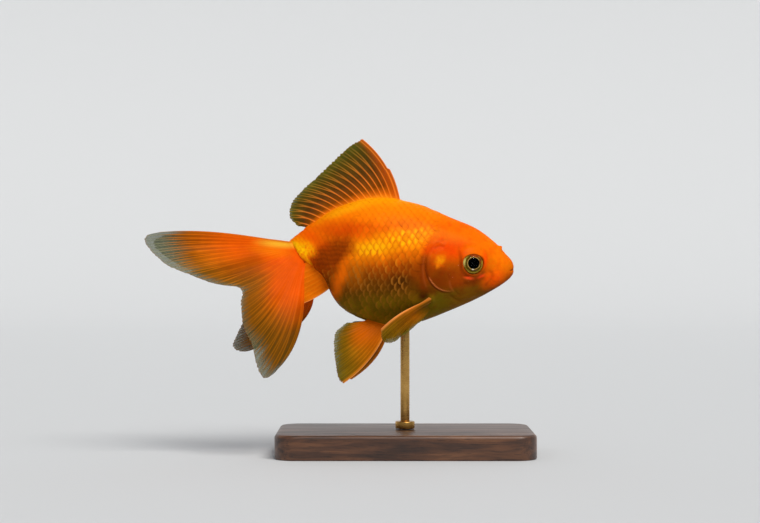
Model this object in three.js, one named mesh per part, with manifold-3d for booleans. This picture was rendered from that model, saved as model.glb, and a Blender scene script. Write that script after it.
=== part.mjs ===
// A life-size fantail goldfish, swimming level, held by one rod on a plain display stand.
// Millimetres, +Z up, +X towards the snout, the fish's right side towards -Y.
// The origin is under the middle of the stand's base, on the surface it stands on.

import * as THREE from "three";
import { mergeVertices } from "three/addons/utils/BufferGeometryUtils.js";
import Module from "manifold-3d";

const wasm = await Module();
wasm.setup();

// ---------------------------------------------------------------- driving sizes

const AXIS_HEIGHT = 63; // the fish's axis, at the height of its eye, above the floor
const FISH_X = -5; // brings the belly's rod over the middle of the base
const GAP = 0.3; // clearance between solids that touch
const SWAY = { from: 12, to: -34, reach: -2.2 }; // the tail swings to the right, growing as a square

// Sections of the body from snout to tail stalk, in the fish's own frame:
// place along the axis, height of the back, height of the belly, half width, height of the widest line.
const SECTIONS = [
  [40.7, -2.0, -2.4, 0.5, -2.2],
  [40.1, 0.4, -4.5, 2.1, -2.0],
  [38.2, 2.6, -6.4, 3.7, -1.6],
  [34.4, 6.6, -8.9, 5.8, -1.0],
  [28.3, 11.1, -12.2, 8.3, -0.6],
  [20.1, 14.6, -15.8, 11.0, -1.2],
  [11.0, 18.5, -19.3, 13.0, -2.6],
  [2.0, 20.6, -21.3, 13.7, -3.6],
  [-7.0, 20.7, -19.4, 12.7, -3.0],
  [-14.5, 18.7, -15.9, 10.0, -1.0],
  [-18.6, 17.0, -11.4, 7.6, 1.0],
  [-21.4, 15.3, -5.2, 5.9, 2.6],
  [-25.0, 12.6, -2.1, 4.2, 3.9],
  [-29.5, 9.3, -0.9, 2.9, 3.9],
  [-34.0, 6.6, -0.2, 2.1, 3.3],
];
const LAST = SECTIONS.length - 1;
const BACK_FULLNESS = 1.95; // superellipse power above the widest line, 2 being an ellipse
const BELLY_FULLNESS = 2.3; // and below it
const BODY_RINGS = 30;
const BODY_SIDES = 24;

const SHOULDER = { x: 41, z: -1, radius: 30 }; // the head ends on this upright cylinder
const STALK_X = -24.6; // the tail stalk starts here
const STALK_END = { top: [-32.9, 7.1], bottom: [-28.0, -0.9] }; // the slanting line the tail grows from

const GILL_COVER = { x: 19.5, z: -1.8, length: 7.4, height: 8.4, front: 20.7, proud: 0.45, deep: 1.7 };
const EYE = { x: 26.7, z: -0.4, radius: 3.7, flat: 0.72, turn: 18, sink: 1.35 };
const MOUTH = { x: 37.6, z: -3.3, slit: 0.5, tilt: 18 };
const NOSTRIL = { x: 36.2, y: 2.3, radius: 1.0 };

const STAND = { length: 84, width: 46, height: 8, corner: 7, bevel: 1.2 };
const ROD = { radius: 1.5, sides: 20, socket: 4, collar: 3.2, collarHeight: 2.4 };

// Each fin is a fan. base and margin run from the leading ray (0) to the last one (1):
// [share of the way, x, y, z]; bow is how far the rays bend out of straight, most at the middle or,
// where late is above 1, nearer the margin. Fins given for the right side can be mirrored.
const DORSAL = {
  rays: 17,
  base: [
    [0, 2.9, 0, 20.0],
    [0.3, -5.0, 0, 20.6],
    [0.65, -16.0, 0, 17.6],
    [1, -26.6, 0, 11.0],
  ],
  margin: [
    [0, -9.1, 0, 40.5],
    [0.12, -13.0, 0.1, 38.4],
    [0.25, -17.2, 0.2, 34.6],
    [0.45, -23.4, 0.3, 28.6],
    [0.65, -29.4, 0.2, 23.0],
    [0.8, -32.6, 0.1, 18.6],
    [0.92, -32.9, 0, 14.0],
    [1, -30.6, 0, 10.8],
  ],
  bow: [
    [0, 2.0, 0, 1.2],
    [0.3, 1.4, 0.3, 0.9],
    [1, 0.3, 0.2, 0.8],
  ],
};

const TAIL_RIGHT = {
  rays: 18,
  base: [
    [0, -32.2, -1.3, 6.6],
    [0.5, -30.0, -1.4, 3.1],
    [1, -27.7, -1.4, -0.6],
  ],
  margin: [
    [0, -74.4, -4.6, 9.6],
    [0.05, -78.2, -4.8, 8.6],
    [0.1, -78.9, -5.0, 6.6],
    [0.18, -76.2, -5.2, 2.7],
    [0.27, -71.6, -5.8, -1.2],
    [0.36, -64.6, -6.3, -4.2],
    [0.44, -55.8, -6.9, -7.1],
    [0.5, -48.4, -7.4, -8.7],
    [0.58, -48.1, -9.2, -13.6],
    [0.68, -47.2, -11.4, -20.6],
    [0.8, -44.2, -13.4, -27.0],
    [0.87, -42.7, -14.6, -32.9],
    [0.91, -41.6, -15.0, -35.6],
    [0.944, -39.9, -15.3, -37.3],
    [0.972, -37.1, -15.3, -35.8],
    [1, -34.6, -15.0, -33.4],
  ],
  bow: [
    [0, 0, 0, 1.4],
    [0.25, 0, -0.2, 0.6],
    [0.5, 0.6, -0.6, -0.8],
    [0.75, 1.6, -2.2, -0.6],
    [1, 3.3, -3.4, 0],
  ],
  late: 1.5,
};

const TAIL_LEFT = {
  rays: 18,
  base: [
    [0, -32.2, 1.3, 6.6],
    [0.5, -30.0, 1.4, 3.1],
    [1, -28.0, 1.4, -0.4],
  ],
  margin: [
    [0, -73.6, 5.0, 8.8],
    [0.06, -77.2, 5.4, 7.0],
    [0.14, -76.2, 5.8, 4.0],
    [0.28, -69.0, 6.6, -1.2],
    [0.4, -58.6, 7.6, -5.2],
    [0.5, -49.2, 8.4, -8.0],
    [0.6, -48.9, 10.6, -13.4],
    [0.72, -49.1, 12.6, -19.8],
    [0.8, -51.2, 13.8, -24.2],
    [0.88, -52.5, 14.9, -28.4],
    [0.93, -50.7, 15.3, -29.9],
    [0.97, -47.2, 15.4, -29.9],
    [1, -43.6, 15.2, -28.0],
  ],
  bow: [
    [0, 0, 0, 1.0],
    [0.5, 0.8, 0.6, -1.0],
    [0.75, 4.0, 2.6, -2.0],
    [1, 8.9, 4.0, -2.6],
  ],
};

const ANAL_RIGHT = {
  rays: 6,
  base: [
    [0, -20.6, -0.9, -9.0],
    [1, -24.6, -1.1, -1.6],
  ],
  margin: [
    [0, -33.6, -2.4, -15.2],
    [0.3, -36.6, -2.6, -13.2],
    [0.65, -37.0, -2.6, -8.6],
    [1, -33.6, -2.2, -4.4],
  ],
  bow: [
    [0, 0.6, -0.3, -0.8],
    [1, 0.2, -0.3, -0.4],
  ],
};

const PECTORAL_RIGHT = {
  rays: 12,
  base: [
    [0, 14.0, -9.8, -11.9],
    [1, 12.9, -8.6, -14.8],
  ],
  margin: [
    [0, -3.0, -17.2, -21.9],
    [0.12, -2.9, -17.1, -23.9],
    [0.3, -2.0, -16.6, -25.8],
    [0.55, 1.3, -15.6, -25.6],
    [0.8, 5.8, -13.6, -22.4],
    [1, 9.7, -12.0, -19.4],
  ],
  bow: [
    [0, 0.4, -1.6, 1.5],
    [1, 0.1, -0.6, 0.1],
  ],
  late: 2,
};

const PELVIC_RIGHT = {
  rays: 9,
  base: [
    [0, -0.3, -4.6, -19.9],
    [1, -6.2, -4.0, -18.6],
  ],
  margin: [
    [0, -15.2, -9.3, -39.3],
    [0.1, -16.5, -9.7, -38.2],
    [0.3, -17.5, -9.9, -34.4],
    [0.55, -18.2, -9.5, -28.2],
    [0.8, -17.7, -8.6, -22.9],
    [1, -14.2, -6.8, -19.7],
  ],
  bow: [
    [0, 1.9, -1.6, -1.1],
    [0.5, 0.3, -1.0, -0.4],
    [1, 0, -0.6, -0.4],
  ],
};

const PELVIC_AHEAD = 1.7; // the left pelvic fin is held this much further forward

// Half thicknesses of web, ray and root, and the share of the fin that the thicker root reaches over.
const FIN = { membrane: 0.27, ray: 0.2, root: 0.34, rootReach: 0.1 };

// ---------------------------------------------------------------- finishes

function paint(color, roughness, metalness = 0) {
  return new THREE.MeshStandardMaterial({ color, roughness, metalness });
}

const skin = paint(0xf07a0c, 0.45);
const gillPlate = paint(0xf28418, 0.35);
const finWeb = paint(0xe8701a, 0.5);
const eyeball = paint(0x1a1712, 0.08);
const walnut = paint(0x4a2f1f, 0.5);
const brass = paint(0xb08d4f, 0.3, 1);

// ---------------------------------------------------------------- working tools

const mix = THREE.MathUtils.lerp;
const vector = (list) => new THREE.Vector3(...list);

// A smooth curve through rows of [key, value, value, ...], read at any key.
function through(rows) {
  const slopes = rows.map((row, i) => {
    const before = rows[Math.max(i - 1, 0)];
    const after = rows[Math.min(i + 1, rows.length - 1)];
    return row.slice(1).map((_, c) => (after[c + 1] - before[c + 1]) / (after[0] - before[0]));
  });
  return (key) => {
    let i = 0;
    while (i < rows.length - 2 && key > rows[i + 1][0]) i += 1;
    const span = rows[i + 1][0] - rows[i][0];
    const s = (key - rows[i][0]) / span;
    const rise = s * s * (3 - 2 * s);
    const leave = s * (1 - s) * (1 - s) * span;
    const arrive = s * s * (s - 1) * span;
    return rows[i].slice(1).map((from, c) => {
      const level = mix(from, rows[i + 1][c + 1], rise);
      return level + slopes[i][c] * leave + slopes[i + 1][c] * arrive;
    });
  };
}

// Moves every vertex of a three.js primitive: move(vertex, uv) returns its new place.
function shaped(geometry, move) {
  const position = geometry.getAttribute("position");
  const uv = geometry.getAttribute("uv");
  for (let i = 0; i < position.count; i += 1) {
    const corner = new THREE.Vector3().fromBufferAttribute(position, i);
    const place = move(corner, new THREE.Vector2().fromBufferAttribute(uv, i));
    position.setXYZ(i, place.x, place.y, place.z);
  }
  return geometry;
}

// A closed geometry as a solid that can be joined and cut, and back again.
function solidOf(geometry) {
  const bare = geometry.clone().deleteAttribute("normal").deleteAttribute("uv");
  const merged = mergeVertices(bare, 1e-4);
  return new wasm.Manifold(
    new wasm.Mesh({
      numProp: 3,
      vertProperties: merged.getAttribute("position").array,
      triVerts: new Uint32Array(merged.index.array),
    }),
  );
}

function meshOf(solid, name, material) {
  const { vertProperties, triVerts } = solid.getMesh();
  const geometry = new THREE.BufferGeometry()
    .setAttribute("position", new THREE.BufferAttribute(vertProperties, 3))
    .setIndex(new THREE.BufferAttribute(triVerts, 1));
  geometry.computeVertexNormals();
  const mesh = new THREE.Mesh(geometry, material);
  mesh.name = name;
  return mesh;
}

// A block by its lowest and highest corners, and a cylinder that lies across the fish, as cutters.
function block(low, high) {
  const size = vector(high).sub(vector(low));
  const centre = vector(low).add(vector(high)).multiplyScalar(0.5);
  return solidOf(new THREE.BoxGeometry(size.x, size.y, size.z).translate(centre.x, centre.y, centre.z));
}

function crossCylinder(x, z, radiusX, radiusZ, sides) {
  return solidOf(new THREE.CylinderGeometry(1, 1, 80, sides).scale(radiusX, 1, radiusZ).translate(x, 0, z));
}

// ---------------------------------------------------------------- body

const section = through(SECTIONS.map((row, i) => [i, ...row]));

// How far the swimming bend carries a point of the fish sideways.
function sway(x) {
  const share = Math.max(0, (SWAY.from - x) / (SWAY.from - SWAY.to));
  return SWAY.reach * share * share;
}

// A point of the skin: along counts sections from the snout, and angle runs round from the back over +Y.
function skinPoint(along, angle) {
  const [x, back, belly, width, widest] = section(along);
  const up = Math.cos(angle);
  const out = Math.sin(angle);
  const power = 2 / (up > 0 ? BACK_FULLNESS : BELLY_FULLNESS);
  const height = up > 0 ? back - widest : widest - belly;
  return new THREE.Vector3(
    x,
    Math.sign(out) * width * Math.abs(out) ** power + sway(x),
    widest + Math.sign(up) * height * Math.abs(up) ** power,
  );
}

// The whole body as one solid, its skin moved out by grow. The ends close on the axis.
function bodySolid(grow = 0) {
  const sphere = new THREE.SphereGeometry(1, BODY_SIDES, BODY_RINGS);
  const step = 0.02;
  return solidOf(
    shaped(sphere, (_, uv) => {
      const share = 1 - uv.y;
      const angle = -2 * Math.PI * uv.x;
      const ring = Math.round(share * BODY_RINGS);
      if (ring === 0) return vector([SECTIONS[0][0] + grow, 0, SECTIONS[0][4]]);
      if (ring === BODY_RINGS) return vector([SECTIONS[LAST][0] - grow, SWAY.reach, SECTIONS[LAST][4]]);
      const along = THREE.MathUtils.clamp((LAST * (ring - 1)) / (BODY_RINGS - 2), step, LAST - step);
      const alongBody = skinPoint(along + step, angle).sub(skinPoint(along - step, angle));
      const roundBody = skinPoint(along, angle + step).sub(skinPoint(along, angle - step));
      const outward = roundBody.cross(alongBody).normalize();
      return skinPoint(along, angle).addScaledVector(outward, grow);
    }),
  );
}

// The slanting end of the tail stalk, as a cutter that takes all behind it.
function behindStalk(back) {
  const [topX, topZ] = STALK_END.top;
  const [lowX, lowZ] = STALK_END.bottom;
  const lean = Math.atan2(lowX - topX, topZ - lowZ);
  const slab = new THREE.BoxGeometry(40, 40, 60).translate(-20 - back, 0, 0).rotateY(-lean);
  return solidOf(slab.translate((topX + lowX) / 2, 0, (topZ + lowZ) / 2));
}

const whole = bodySolid().subtract(behindStalk(0));
const clear = bodySolid(GAP).subtract(behindStalk(GAP)); // what the fins and flaps stay outside of

const headEnd = (radius) => crossCylinder(SHOULDER.x, SHOULDER.z, radius, radius, 48);

// The gill cover is a plate that stands a little proud, shaped like a D with its round side to the rear.
function gillPrism(extra) {
  const { x, z, length, height, front } = GILL_COVER;
  const round = crossCylinder(x, z, length + extra, height + extra, 28);
  return round.intersect(block([0, -40, -40], [front + extra, 40, 40]));
}

function gillCover(side) {
  const flank = side < 0 ? block([0, -40, -40], [60, -4, 40]) : block([0, 4, -40], [60, 40, 40]);
  const plate = bodySolid(GILL_COVER.proud).subtract(bodySolid(-GILL_COVER.deep));
  return plate.intersect(gillPrism(0)).intersect(flank);
}

function eyeShape(side, extra) {
  const along = through(SECTIONS.map((row) => [-row[0], row[3]]));
  const wide = along(-EYE.x)[0];
  const ball = new THREE.SphereGeometry(EYE.radius + extra, 14, 8);
  ball.scale(1, EYE.flat, 1).rotateZ(THREE.MathUtils.degToRad(-side * EYE.turn));
  return solidOf(ball.translate(EYE.x, side * (wide - EYE.sink), EYE.z));
}

// A small standing flap over each nostril.
function nostrilFlap(side) {
  const flap = new THREE.SphereGeometry(NOSTRIL.radius, 8, 6).scale(0.75, 0.9, 1.35).rotateY(0.5);
  return solidOf(flap.translate(NOSTRIL.x, side * NOSTRIL.y, 4.6)).subtract(clear);
}

function mouthSlit() {
  const slab = new THREE.BoxGeometry(10, 20, MOUTH.slit).translate(5, 0, 0);
  slab.rotateY(THREE.MathUtils.degToRad(-MOUTH.tilt));
  return solidOf(slab.translate(MOUTH.x, 0, MOUTH.z));
}

// ---------------------------------------------------------------- fins

// A point of a fan: share runs from the leading ray to the last, and out from root to margin.
function fanPoint(fin, share, out) {
  const root = vector(fin.curves.base(share));
  const edge = vector(fin.curves.margin(share));
  const late = fin.late ?? 1;
  const most = (late / (late + 1)) ** late / (late + 1);
  const bent = (Math.max(out, 0) ** late * (1 - out)) / most;
  const bend = vector(fin.curves.bow(share)).multiplyScalar(bent);
  const place = root.lerp(edge, out).add(bend);
  return place.setY(place.y + sway(place.x));
}

// A fan with raised rays, from share first to share last of its rays. Two lobes stay GAP apart.
function finSolid(shape, { first = 0, last = 1, columns, rows }) {
  const curves = { base: through(shape.base), margin: through(shape.margin), bow: through(shape.bow) };
  const fin = { ...shape, curves };
  const step = 0.004;
  const blank = new THREE.BoxGeometry(1, 1, 1, columns, rows, 1);
  return solidOf(
    shaped(blank, (corner) => {
      const out = corner.y + 0.5;
      const inner = mix(first, last, corner.x + 0.5);
      const span = fanPoint(fin, inner, out).distanceTo(fanPoint(fin, inner + step, out)) / step;
      const slit = GAP / 2 / span;
      const [low, high] = [first > 0 ? first + slit : 0, last < 1 ? last - slit : 1];
      const share = THREE.MathUtils.clamp(inner, low, high);
      const across = fanPoint(fin, share + step, out).sub(fanPoint(fin, share - step, out));
      const outward = fanPoint(fin, share, out + step).sub(fanPoint(fin, share, out - step));
      const ridge = Math.cos(Math.PI * fin.rays * share) ** 2;
      const root = FIN.root * Math.exp(-out / FIN.rootReach);
      const half = FIN.membrane + FIN.ray * ridge * (1 - 0.8 * out) + root;
      const normal = across.cross(outward).normalize();
      return fanPoint(fin, share, out).addScaledVector(normal, 2 * corner.z * half);
    }),
  );
}

// The fin of the other side, held a little further forward.
function mirrored(fin, forward) {
  const flip = (rows, ahead) => rows.map(([share, x, y, z]) => [share, x + ahead, -y, z]);
  const [base, margin, bow] = [flip(fin.base, 0), flip(fin.margin, forward), flip(fin.bow, forward / 2)];
  return { ...fin, base, margin, bow };
}

function bothSides(name, rightFin, size, forward = 0) {
  return [
    [`${name}_right`, finSolid(rightFin, size)],
    [`${name}_left`, finSolid(mirrored(rightFin, forward), size)],
  ];
}

const TAIL_LOBES = {
  upper: { first: 0, last: 0.5, columns: 18, rows: 5 },
  lower: { first: 0.5, last: 1, columns: 18, rows: 5 },
};

const fins = [
  ["fin_dorsal", finSolid(DORSAL, { columns: 34, rows: 4 })],
  ...bothSides("fin_pectoral", PECTORAL_RIGHT, { columns: 16, rows: 4 }),
  ...bothSides("fin_pelvic", PELVIC_RIGHT, { columns: 18, rows: 4 }, PELVIC_AHEAD),
  ...bothSides("fin_anal", ANAL_RIGHT, { columns: 12, rows: 3 }),
  ...Object.entries(TAIL_LOBES).flatMap(([lobe, size]) => [
    [`tail_fin_right_${lobe}`, finSolid(TAIL_RIGHT, size)],
    [`tail_fin_left_${lobe}`, finSolid(TAIL_LEFT, size)],
  ]),
];

// ---------------------------------------------------------------- stand

const rodX = -FISH_X;
const floorZ = -AXIS_HEIGHT;
const bellyZ = through(SECTIONS.map((row) => [-row[0], row[2]]))(-rodX)[0];

function standBase() {
  const { length, width, height, corner, bevel } = STAND;
  const [halfX, halfY, r] = [length / 2 - bevel, width / 2 - bevel, corner - bevel];
  const outline = new THREE.Shape();
  outline.absarc(halfX - r, halfY - r, r, 0, Math.PI / 2);
  outline.absarc(r - halfX, halfY - r, r, Math.PI / 2, Math.PI);
  outline.absarc(r - halfX, r - halfY, r, Math.PI, 1.5 * Math.PI);
  outline.absarc(halfX - r, r - halfY, r, 1.5 * Math.PI, 2 * Math.PI);
  const plate = new THREE.ExtrudeGeometry(outline, {
    depth: height - 2 * bevel,
    bevelThickness: bevel,
    bevelSize: bevel,
    bevelSegments: 1,
    curveSegments: 5,
  });
  return solidOf(plate.translate(rodX, 0, floorZ + bevel));
}

function upright(radius, low, high) {
  const bar = new THREE.CylinderGeometry(radius, radius, high - low, ROD.sides).rotateX(Math.PI / 2);
  return solidOf(bar.translate(rodX, 0, (low + high) / 2));
}

const baseTop = floorZ + STAND.height;
const rodTop = bellyZ + ROD.socket;
const rodSocket = upright(ROD.radius + GAP, baseTop - 40, rodTop + GAP);

const standRod = upright(ROD.radius, baseTop + GAP, rodTop);
const standCollar = upright(ROD.collar, baseTop + GAP, baseTop + GAP + ROD.collarHeight).subtract(
  upright(ROD.radius + GAP, baseTop - 1, baseTop + 10),
);

// ---------------------------------------------------------------- the model

const eyeHoles = eyeShape(-1, GAP).add(eyeShape(1, GAP));
const gillHoles = gillPrism(GAP)
  .subtract(bodySolid(-GILL_COVER.deep - GAP))
  .subtract(block([0, GAP - 4, -40], [60, 4 - GAP, 40]));
const tailWard = block([-60, -40, -40], [STALK_X, 40, 40]);

const head = whole
  .intersect(headEnd(SHOULDER.radius))
  .subtract(eyeHoles)
  .subtract(gillHoles)
  .subtract(mouthSlit());
const trunk = whole
  .subtract(headEnd(SHOULDER.radius + GAP))
  .subtract(gillHoles)
  .subtract(block([-60, -40, -40], [STALK_X + GAP, 40, 40]))
  .subtract(rodSocket);
const tailStalk = whole.intersect(tailWard);

const fish = new THREE.Group();
fish.add(
  meshOf(head, "head", skin),
  meshOf(trunk, "trunk", skin),
  meshOf(tailStalk, "tail_stalk", skin),
  meshOf(gillCover(-1), "gill_cover_right", gillPlate),
  meshOf(gillCover(1), "gill_cover_left", gillPlate),
  meshOf(eyeShape(-1, 0), "eye_right", eyeball),
  meshOf(eyeShape(1, 0), "eye_left", eyeball),
  meshOf(nostrilFlap(-1), "nostril_flap_right", skin),
  meshOf(nostrilFlap(1), "nostril_flap_left", skin),
  meshOf(standBase(), "stand_base", walnut),
  meshOf(standCollar, "stand_collar", brass),
  meshOf(standRod, "stand_rod", brass),
);
fins.forEach(([name, solid]) => fish.add(meshOf(solid.subtract(clear), name, finWeb)));
fish.position.set(FISH_X, 0, AXIS_HEIGHT);

const model = new THREE.Group();
model.add(fish);

export default model;
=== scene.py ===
"""A life-size fantail goldfish on one brass rod over a walnut base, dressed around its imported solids.

Shapes are worked out in the fish's own frame: millimetres, +X towards the snout, +Z up, its right side
towards -Y, with the origin on its long axis. to_world turns them into the frame's metres.
"""

import math

import bpy
import numpy as np
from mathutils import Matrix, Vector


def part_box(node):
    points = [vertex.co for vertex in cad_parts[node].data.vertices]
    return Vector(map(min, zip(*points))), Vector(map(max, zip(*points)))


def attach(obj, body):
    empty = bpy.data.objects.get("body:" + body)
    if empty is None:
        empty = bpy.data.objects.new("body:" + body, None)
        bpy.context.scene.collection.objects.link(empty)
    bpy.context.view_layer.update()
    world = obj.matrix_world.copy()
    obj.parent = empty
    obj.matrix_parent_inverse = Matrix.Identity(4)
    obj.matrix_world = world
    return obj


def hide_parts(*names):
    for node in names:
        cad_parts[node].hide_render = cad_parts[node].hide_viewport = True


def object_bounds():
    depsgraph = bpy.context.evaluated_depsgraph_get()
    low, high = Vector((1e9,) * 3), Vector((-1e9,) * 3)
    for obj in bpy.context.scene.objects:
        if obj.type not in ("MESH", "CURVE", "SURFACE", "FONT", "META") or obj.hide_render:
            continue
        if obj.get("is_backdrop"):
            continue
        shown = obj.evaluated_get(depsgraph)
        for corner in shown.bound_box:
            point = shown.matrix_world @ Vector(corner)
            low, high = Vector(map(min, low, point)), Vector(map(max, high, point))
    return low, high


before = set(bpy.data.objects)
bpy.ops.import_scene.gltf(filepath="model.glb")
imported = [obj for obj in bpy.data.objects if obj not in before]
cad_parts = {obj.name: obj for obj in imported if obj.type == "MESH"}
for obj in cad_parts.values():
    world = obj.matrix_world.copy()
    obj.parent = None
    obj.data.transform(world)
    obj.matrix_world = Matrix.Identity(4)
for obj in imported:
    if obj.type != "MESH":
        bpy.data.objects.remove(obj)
cad_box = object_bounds()
rng = np.random.default_rng(7)

MM = 0.001

# ------------------------------------------------------------------ sizes of the fish

# Sections from snout to tail stalk: place, height of the back, of the belly, half width, widest line.
SECTIONS = [
    [40.7, -2.0, -2.4, 0.5, -2.2],
    [40.1, 0.4, -4.5, 2.1, -2.0],
    [38.2, 2.6, -6.4, 3.7, -1.6],
    [34.4, 6.6, -8.9, 5.8, -1.0],
    [28.3, 11.1, -12.2, 8.3, -0.6],
    [20.1, 14.6, -15.8, 11.0, -1.2],
    [11.0, 18.5, -19.3, 13.0, -2.6],
    [2.0, 20.6, -21.3, 13.7, -3.6],
    [-7.0, 20.7, -19.4, 12.7, -3.0],
    [-14.5, 18.7, -15.9, 10.0, -1.0],
    [-18.6, 17.0, -11.4, 7.6, 1.0],
    [-21.4, 15.3, -5.2, 5.9, 2.6],
    [-25.0, 12.6, -2.1, 4.2, 3.9],
    [-29.5, 9.3, -0.9, 2.9, 3.9],
    [-34.0, 6.6, -0.2, 2.1, 3.3],
]
LAST = len(SECTIONS) - 1
BACK_FULLNESS, BELLY_FULLNESS = 1.95, 2.3  # superellipse powers above and below the widest line
SWAY_FROM, SWAY_TO, SWAY_REACH = 12.0, -34.0, -2.2  # the tail swings to the right, as a square
STALK_X = -24.6  # where the tail stalk starts
STALK_TOP, STALK_LOW = (-33.4, 7.1), (-28.6, -0.9)  # the slanting line on which its skin ends

EYE_Z = -0.4  # of the eye over the fish's axis
EYE_RADIUS = 3.45  # of the eyeball where the skin opens
PUPIL_RADIUS = 1.87
EYELID = 0.9  # how far the upper lid comes down over the eyeball
EYE_TURN = math.radians(18)  # towards the front
EYE_SINK = 1.35  # of its centre, in from the flank

SCALE_DEPTH = 0.2  # how far the skin lies in, under the scales
SCALE_THICK = 0.035

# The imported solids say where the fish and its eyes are.
FISH_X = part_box("head")[1].x / MM - SECTIONS[0][0]
eye_low, eye_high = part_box("eye_right")
EYE_X = (eye_low.x + eye_high.x) / 2 / MM - FISH_X
AXIS_HEIGHT = (eye_low.z + eye_high.z) / 2 / MM - EYE_Z

# Places of the head, those in twos seen from the side.
SNOUT_TIP = (40.62, 0, -2.3)
NOSTRIL_PIT, NOSTRIL_FLAP = (37.1, 2.2, 3.7), (36.1, 2.3, 4.7)  # on the left; the right ones mirror them
FIN_KNOB, FIN_HOLLOW = (13.0, -11.8), (10.7, -11.1)  # under the front paired fin, and behind that knob
MOUTH_CORNER, MOUTH_OPENS = 39.0, 40.2  # where along the axis its slit starts, and is at its deepest

# Of one scale, as shares of the pitch of the columns and of the rows.
SCALE_LENGTH, SCALE_WIDTH = 2.25, 1.14

PLINTH_CORNER, PLINTH_TOP_EDGE, PLINTH_LOW_EDGE = 7, 1.2, 0.5  # radii of the stand's base

# ------------------------------------------------------------------ curves and smooth steps


def through(rows):
    """A smooth curve through rows of [key, value, value, ...], read at an array of keys."""
    table = np.array(rows, float)
    keys, values = table[:, 0], table[:, 1:]
    order = np.arange(len(keys))
    before, after = np.maximum(order - 1, 0), np.minimum(order + 1, len(keys) - 1)
    slopes = (values[after] - values[before]) / (keys[after] - keys[before])[:, None]

    def read(key):
        key = np.asarray(key, float)
        i = np.clip(np.searchsorted(keys, key) - 1, 0, len(keys) - 2)
        span = keys[i + 1] - keys[i]
        s = ((key - keys[i]) / span)[..., None]
        rise = s * s * (3 - 2 * s)
        level = values[i] * (1 - rise) + values[i + 1] * rise
        leave = slopes[i] * s * (1 - s) ** 2
        arrive = slopes[i + 1] * s * s * (s - 1)
        return level + (leave + arrive) * span[..., None]

    return read


def step(low, high, value):
    """Rises smoothly from 0 at low to 1 at high; low may be the larger."""
    share = np.clip((value - low) / (high - low), 0, 1)
    return share * share * (3 - 2 * share)


def mound(distance, width):
    """1 at no distance, fading as a bell of that half width."""
    return np.exp(-((distance / width) ** 2))


def unit(vectors):
    return vectors / np.maximum(np.linalg.norm(vectors, axis=-1, keepdims=True), 1e-12)


def to_world(points):
    return (np.asarray(points, float) + [FISH_X, 0, AXIS_HEIGHT]) * MM


def from_line(points, line, samples=80):
    """Each point's distance from a smooth line through a few places, and its share of the way along."""
    rows = [[i / (len(line) - 1), *place] for i, place in enumerate(line)]
    shares = np.linspace(0, 1, samples)
    places = through(rows)(shares)
    best, where = np.full(len(points), 1e9), np.zeros(len(points))
    for share, place in zip(shares, places):
        gap = np.linalg.norm(points - place, axis=1)
        closer = gap < best
        best[closer], where[closer] = gap[closer], share
    return best, where


# ------------------------------------------------------------------ the body's surface

body_row = through([[i, *row] for i, row in enumerate(SECTIONS)])


def sway(x):
    share = np.maximum(0, (SWAY_FROM - x) / (SWAY_FROM - SWAY_TO))
    return SWAY_REACH * share * share


def body_point(along, angle):
    """along counts sections from the snout, and angle runs from the back over +Y."""
    x, back, belly, width, widest = np.moveaxis(body_row(along), -1, 0)
    up, out = np.cos(angle), np.sin(angle)
    power = 2 / np.where(up > 0, BACK_FULLNESS, BELLY_FULLNESS)
    height = np.where(up > 0, back - widest, widest - belly)
    y = np.sign(out) * width * np.abs(out) ** power + sway(x)
    z = widest + np.sign(up) * height * np.abs(up) ** power
    return np.stack([x, y, z], -1)


def body_normal(along, angle):
    tiny = 0.004
    ahead = body_point(along + tiny, angle) - body_point(along - tiny, angle)
    round_ = body_point(along, angle + tiny) - body_point(along, angle - tiny)
    return unit(np.cross(round_, ahead))


section_shares = np.linspace(0, LAST, 1500)
section_places = body_row(section_shares)[:, 0]


def along_at(x):
    """How many sections from the snout a place along the axis is."""
    return np.interp(-np.asarray(x, float), -section_places, section_shares)


# ------------------------------------------------------------------ making pieces


def alone(piece):
    bpy.ops.object.select_all(action="DESELECT")
    piece.select_set(True)
    bpy.context.view_layer.objects.active = piece


def rounded(piece, kind, test, width, segments):
    """Rounds the edges that pass a test, or all edges of the faces that do, by a width in millimetres."""
    alone(piece)
    bpy.ops.object.mode_set(mode="EDIT")
    bpy.ops.mesh.select_mode(type=kind)
    bpy.ops.mesh.select_all(action="DESELECT")
    bpy.ops.object.mode_set(mode="OBJECT")
    parts = piece.data.polygons if kind == "FACE" else piece.data.edges
    for part in parts:
        part.select = test(part)
    bpy.ops.object.mode_set(mode="EDIT")
    bpy.ops.mesh.bevel(offset=width * MM, segments=segments)
    bpy.ops.object.mode_set(mode="OBJECT")


def grid(name, columns, rows, place):
    """A grid whose vertices move to place(u, v); u and v run from 0 to 1."""
    bpy.ops.object.select_all(action="DESELECT")
    bpy.ops.mesh.primitive_grid_add(x_subdivisions=columns, y_subdivisions=rows, size=1)
    piece = bpy.context.object
    piece.name = piece.data.name = name
    corners = np.empty(len(piece.data.vertices) * 3)
    piece.data.vertices.foreach_get("co", corners)
    u, v = corners.reshape(-1, 3)[:, 0] + 0.5, corners.reshape(-1, 3)[:, 1] + 0.5
    piece.data.vertices.foreach_set("co", to_world(place(u, v)).ravel())
    piece.data.update()
    return piece


def note(piece, **values):
    """Keeps a number for each vertex, for the materials to read."""
    for name, numbers in values.items():
        layer = piece.data.attributes.new(name, "FLOAT", "POINT")
        layer.data.foreach_set("value", np.asarray(numbers, np.float32))


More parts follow.
